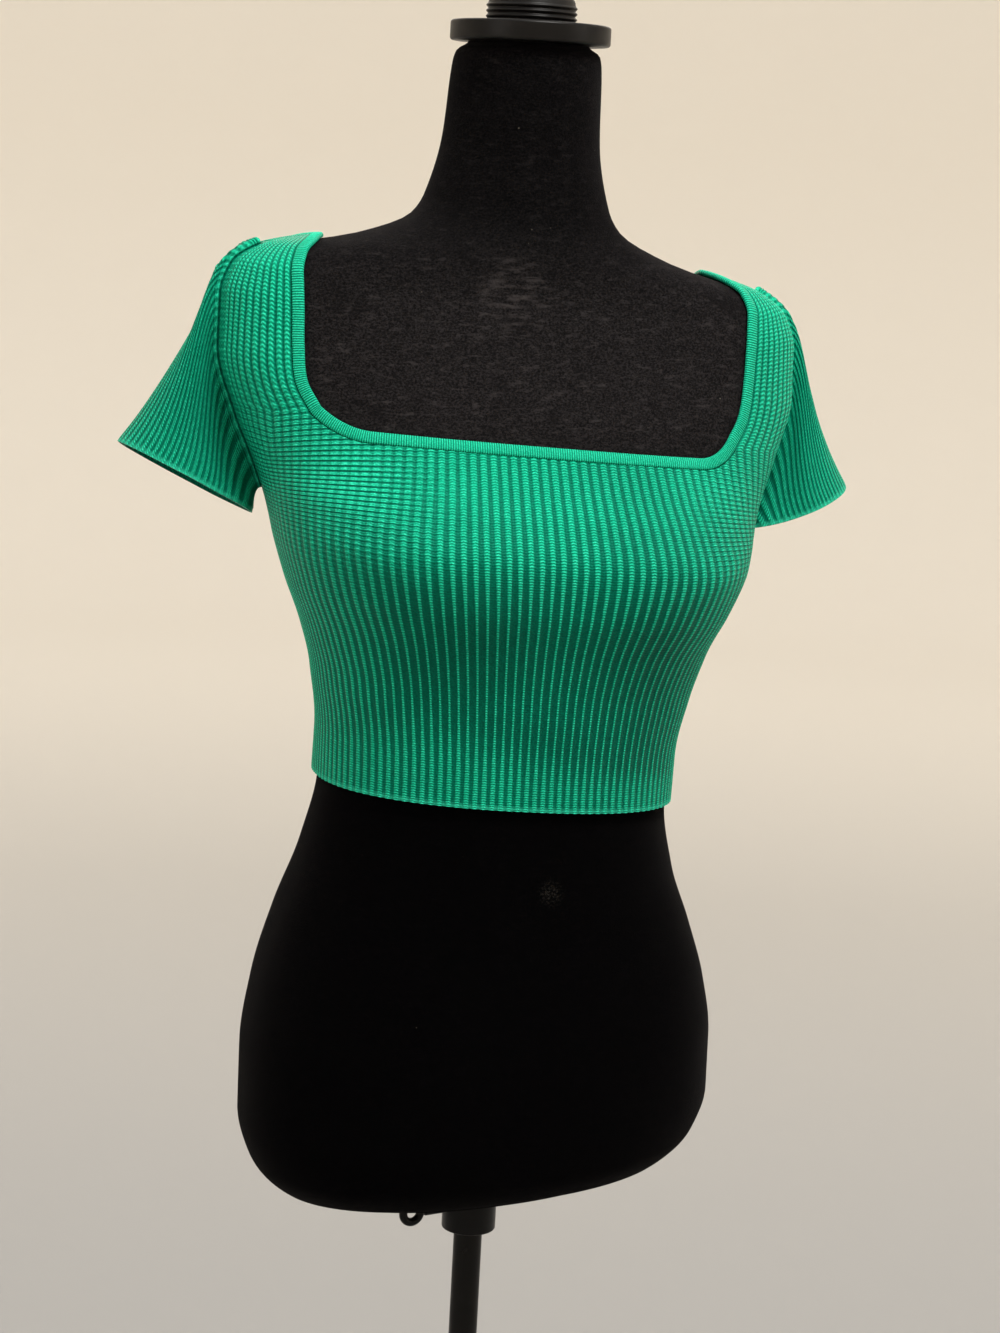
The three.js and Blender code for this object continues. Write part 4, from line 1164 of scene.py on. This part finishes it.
def band_material(name):
    """The same yarn in fine cross ridges, with painted shade between them and painted highlights on them."""
    shader = Shader(name)
    ridge = shader.wave(shader.counts()[0])
    fuzz = shader.noise(shader.where(), 1100.0, 3.0, 0.6)
    colour = shader.blend(shader.between(ridge, 0.0, 0.9, 0.1, 1.0), PAINTED_GROOVE_SHADE, RIDGE)
    shine = shader.times(ridge, shader.between(fuzz, 0.4, 0.6, 0.1, 0.6))
    colour = shader.blend(shine, colour, PAINTED_HIGHLIGHT)
    shader.fix({**YARN_GLOSS, "Sheen Weight": 0.12, "Specular IOR Level": 0.25})
    return shader.finish(colour, YARN_ROUGHNESS, shader.maths("ADD", ridge, fuzz), 0.0003)


def velvet_material(name):
    """A short black nap, dark at the hips, painted paler at the chest where light falls from above and back
    towards dark at the neck in painted shade, with two scuffs and a few specks.
    """
    shader = Shader(name)
    where = shader.where()
    nap = shader.noise(shader.drawn_out(where, (0.7, 0.7, 1.0)), 900.0, 4.0, 0.75)
    brushed = shader.noise(where, 26.0, 4.0, 0.6)
    combed = shader.noise(shader.drawn_out(where, (1.0, 1.0, 3.2)), 105.0, 4.0, 0.65)
    height_m = shader.parts(where)["Z"]
    # Painted light: each nap tone has a paler copy over the chest, which faces the light from above, fading
    # back to dark at the neck as painted shade under the cap
    over_waist = shader.between(height_m, 1.14, 1.26)
    lit_chest = shader.times(over_waist, shader.between(height_m, 1.30, 1.37, 1.0, 0.25))
    dark = shader.blend(lit_chest, (0.0003, 0.0003, 0.0004, 1), (0.0044, 0.0040, 0.0044, 1))
    pale = shader.blend(lit_chest, (0.0012, 0.0010, 0.0012, 1), (0.0200, 0.0178, 0.0188, 1))
    rubbed = shader.blend(lit_chest, (0.0026, 0.0022, 0.0026, 1), (0.050, 0.045, 0.046, 1))
    colour = shader.blend(shader.between(nap, 0.38, 0.66), dark, pale)
    colour = shader.blend(shader.between(brushed, 0.46, 0.30, 0.0, 0.6), colour, dark)
    colour = shader.blend(shader.between(combed, 0.52, 0.74, 0.0, 0.42), colour, rubbed)

    neck_scuff = shader.spot(where, NECK_SCUFF_M, 0.004, 0.032, 0.2)
    neck_scuff = shader.times(neck_scuff, shader.between(combed, 0.42, 0.62))
    colour = shader.blend(neck_scuff, colour, (0.075, 0.066, 0.066, 1))
    hip_scuff = shader.spot(where, HIP_SCUFF_M, 0.001, 0.013, 0.3)
    hip_scuff = shader.times(hip_scuff, shader.between(nap, 0.5, 0.62))
    colour = shader.blend(hip_scuff, colour, (0.10, 0.09, 0.08, 1))

    dust = shader.node("ShaderNodeTexVoronoi", {"Vector": where, "Scale": 75.0}).outputs["Distance"]
    chosen = shader.between(shader.noise(where, 60.0, 1.0, 0.5), 0.6, 0.66)
    speck = shader.times(shader.between(dust, 0.0, 0.055, 1.0, 0.0), chosen)
    colour = shader.blend(shader.times(speck, 0.6), colour, (0.2, 0.18, 0.15, 1))
    shader.fix({"Sheen Weight": 0.04, "Sheen Roughness": 0.4, "Sheen Tint": (0.5, 0.47, 0.48, 1)})
    shader.fix({"Specular IOR Level": 0.02})
    return shader.finish(colour, 1.0, nap, 0.0005, 0.7)


def black_material(name, colour, roughness, gloss):
    """Satin black, with a faint grain and a little dust."""
    shader = Shader(name)
    where = shader.where()
    grain = shader.noise(where, 260.0, 3.0, 0.6)
    smudge = shader.noise(where, 30.0, 3.0, 0.6)
    dust = shader.between(smudge, 0.5, 0.75, 0.0, 0.12)
    tint = shader.blend(dust, (*colour, 1), (0.05, 0.046, 0.043, 1))
    rough = shader.between(smudge, 0.3, 0.7, roughness - 0.06, roughness + 0.08)
    shader.fix({"Specular IOR Level": gloss})
    return shader.finish(tint, rough, grain, 0.00008, 0.4)


def floor_material(name):
    """Painted shade makes it grey near the stand, and it is paler and warmer further out."""
    shader = Shader(name)
    parts = shader.parts(shader.where())
    squares = [shader.maths("POWER", parts[axis], 2.0) for axis in "XY"]
    from_stand = shader.maths("SQRT", shader.maths("ADD", *squares))
    # Painted shade: darker grey near the stand, gone by 6.5 m out
    far = shader.between(from_stand, 1.0, 6.5)
    return shader.finish(shader.blend(far, (0.375, 0.37, 0.365, 1), (0.95, 0.90, 0.82, 1)), 0.9)


knit = knit_material("rib_knit")
band_knit = band_material("band_knit")
velvet = velvet_material("velvet")
plastic = black_material("cap_plastic", (0.0035, 0.003, 0.0028), 0.38, 0.16)
metal = black_material("black_metal", (0.002, 0.0016, 0.0013), 0.33, 0.14)


def settle(piece, node, material):
    """Puts a piece in the place of its solid."""
    piece.data.materials.append(material)
    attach(piece, "root")
    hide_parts(node)


front, front_neck = panel_piece("cloth_front", FRONT)
back, back_neck = panel_piece("cloth_back", BACK)
sleeve_left = sleeve_piece("cloth_sleeve_left", 1)
sleeve_right = sleeve_piece("cloth_sleeve_right", -1)
band = band_piece("cloth_band", front_neck, back_neck)
form = form_piece("form")
settle(front, "top_front", knit)
settle(back, "top_back", knit)
settle(sleeve_left, "sleeve_left", knit)
settle(sleeve_right, "sleeve_right", knit)
settle(band, "neck_band", band_knit)
settle(form, "form_torso", velvet)

cap_profile = disc_profile(CAP_RADIUS, -CAP_THICK / 2, CAP_THICK / 2, CAP_EDGE)
cap = turned_piece("cap", cap_profile, moved=lifted(CAP_HEIGHT))
nut = turned_piece("nut", nut_profile(), moved=lifted(CAP_HEIGHT))
settle(cap, "neck_cap", plastic)
settle(nut, "cap_nut", plastic)

# The pole's top stays a seam's gap under the form's leaning underside.
tilt = POLE_RADIUS * LEAN * abs(float(lean_at(FORM_BOTTOM_DROP)))
pole_top = CAP_HEIGHT - FORM_BOTTOM_DROP - SEAM_GAP - tilt
pole_foot = BASE_THICK + SEAM_GAP
bore = POLE_RADIUS + SEAM_GAP
clamp_top = CAP_HEIGHT - CLAMP_DROP
collar_top = pole_foot + BASE_COLLAR_HEIGHT
screw_end = SCREW_REACH - EYE_RADIUS - EYE_WIRE - SEAM_GAP
clamp_profile = tube_profile(bore, CLAMP_RADIUS, clamp_top - CLAMP_HEIGHT, clamp_top, CLAMP_EDGE)
pole_profile = disc_profile(POLE_RADIUS, pole_foot, pole_top, POLE_EDGE)
base_profile = disc_profile(BASE_RADIUS, 0, BASE_THICK, BASE_EDGE)
collar_profile = tube_profile(bore, BASE_COLLAR_RADIUS, pole_foot, collar_top, BASE_COLLAR_EDGE)
screw_profile = disc_profile(SCREW_RADIUS, SCREW_START, screw_end, SCREW_EDGE)
stand = {
    "clamp_collar": turned_piece("clamp", clamp_profile),
    "pole": turned_piece("tube", pole_profile),
    "base_disc": turned_piece("foot", base_profile),
    "base_collar": turned_piece("foot_collar", collar_profile),
    "clamp_screw": turned_piece("screw", screw_profile, 32, along_screw),
    "screw_ring": ring_piece("ring"),
}
for node, piece in stand.items():
    settle(piece, node, metal)


def room_piece(name, radius=7.0, curve=1.5, wall=9.0, sides=96):
    """A pale floor that curves up all round into an open-topped wall, in metres."""
    profile = [(radius * t, 0.0) for t in (0.04, 0.2, 0.5, 0.75, 1.0)]
    for t in np.linspace(0.15, PI / 2, 9):
        profile.append((radius + curve * math.sin(t), curve - curve * math.cos(t)))
    profile.append((radius + curve, wall))
    skin = Skin()
    rings = np.array(profile) / MM - np.array([0, FLOOR_DROP])
    numbers = closed(skin.add(turned_points(rings, sides)))
    skin.grid(numbers, flip=True)
    middle = skin.add(np.array([(0, 0, -FLOOR_DROP)]))[0]
    skin.fan(middle, numbers[0])
    return skin.build(name)


floor = room_piece("floor")
floor.data.materials.append(floor_material("pale_floor"))


def area_light(name, place_m, size, power, colour):
    light = bpy.data.lights.new(name, "AREA")
    light.shape = "RECTANGLE"
    light.size, light.size_y = size
    light.energy = power
    light.color = colour
    lamp = bpy.data.objects.new(name, light)
    lamp.location = place_m
    direction = Vector(CHEST_M) - Vector(place_m)
    lamp.rotation_mode = "QUATERNION"
    lamp.rotation_quaternion = direction.to_track_quat("-Z", "Y")
    bpy.context.scene.collection.objects.link(lamp)


for light in LIGHTS:
    area_light(*light)

world = bpy.data.worlds.new("studio")
world.use_nodes = True
sky = world.node_tree.nodes["Background"].inputs
sky["Color"].default_value = (0.98, 0.96, 0.93, 1)
sky["Strength"].default_value = 1.0
bpy.context.scene.world = world
bpy.context.scene.view_settings.view_transform = "Standard"


def photo_camera():
    """The photograph's view: to the wearer's right, above the chest, and rolled by a few degrees."""
    side, ahead_of_form = VIEW_REACH_M * math.sin(VIEW_SIDE), VIEW_REACH_M * math.cos(VIEW_SIDE)
    place_m = Vector((-side, -ahead_of_form, VIEW_HEIGHT_M))
    level = math.cos(VIEW_DOWN)
    ahead = Vector((math.sin(VIEW_SIDE) * level, math.cos(VIEW_SIDE) * level, -math.sin(VIEW_DOWN)))
    right = Vector((math.cos(VIEW_SIDE), -math.sin(VIEW_SIDE), 0))
    up = right.cross(ahead)
    rolled_right = right * math.cos(VIEW_ROLL) + up * math.sin(VIEW_ROLL)
    rolled_up = up * math.cos(VIEW_ROLL) - right * math.sin(VIEW_ROLL)
    lens = bpy.data.cameras.new("photo")
    lens.lens = VIEW_LENS
    lens.sensor_width = VIEW_SENSOR
    lens.shift_x = VIEW_SHIFT
    camera = bpy.data.objects.new("photo", lens)
    rows = [(rolled_right[k], rolled_up[k], -ahead[k], place_m[k]) for k in range(3)]
    camera.matrix_world = Matrix([*rows, (0, 0, 0, 1)])
    bpy.context.scene.collection.objects.link(camera)
    bpy.context.scene.camera = camera


photo_camera()
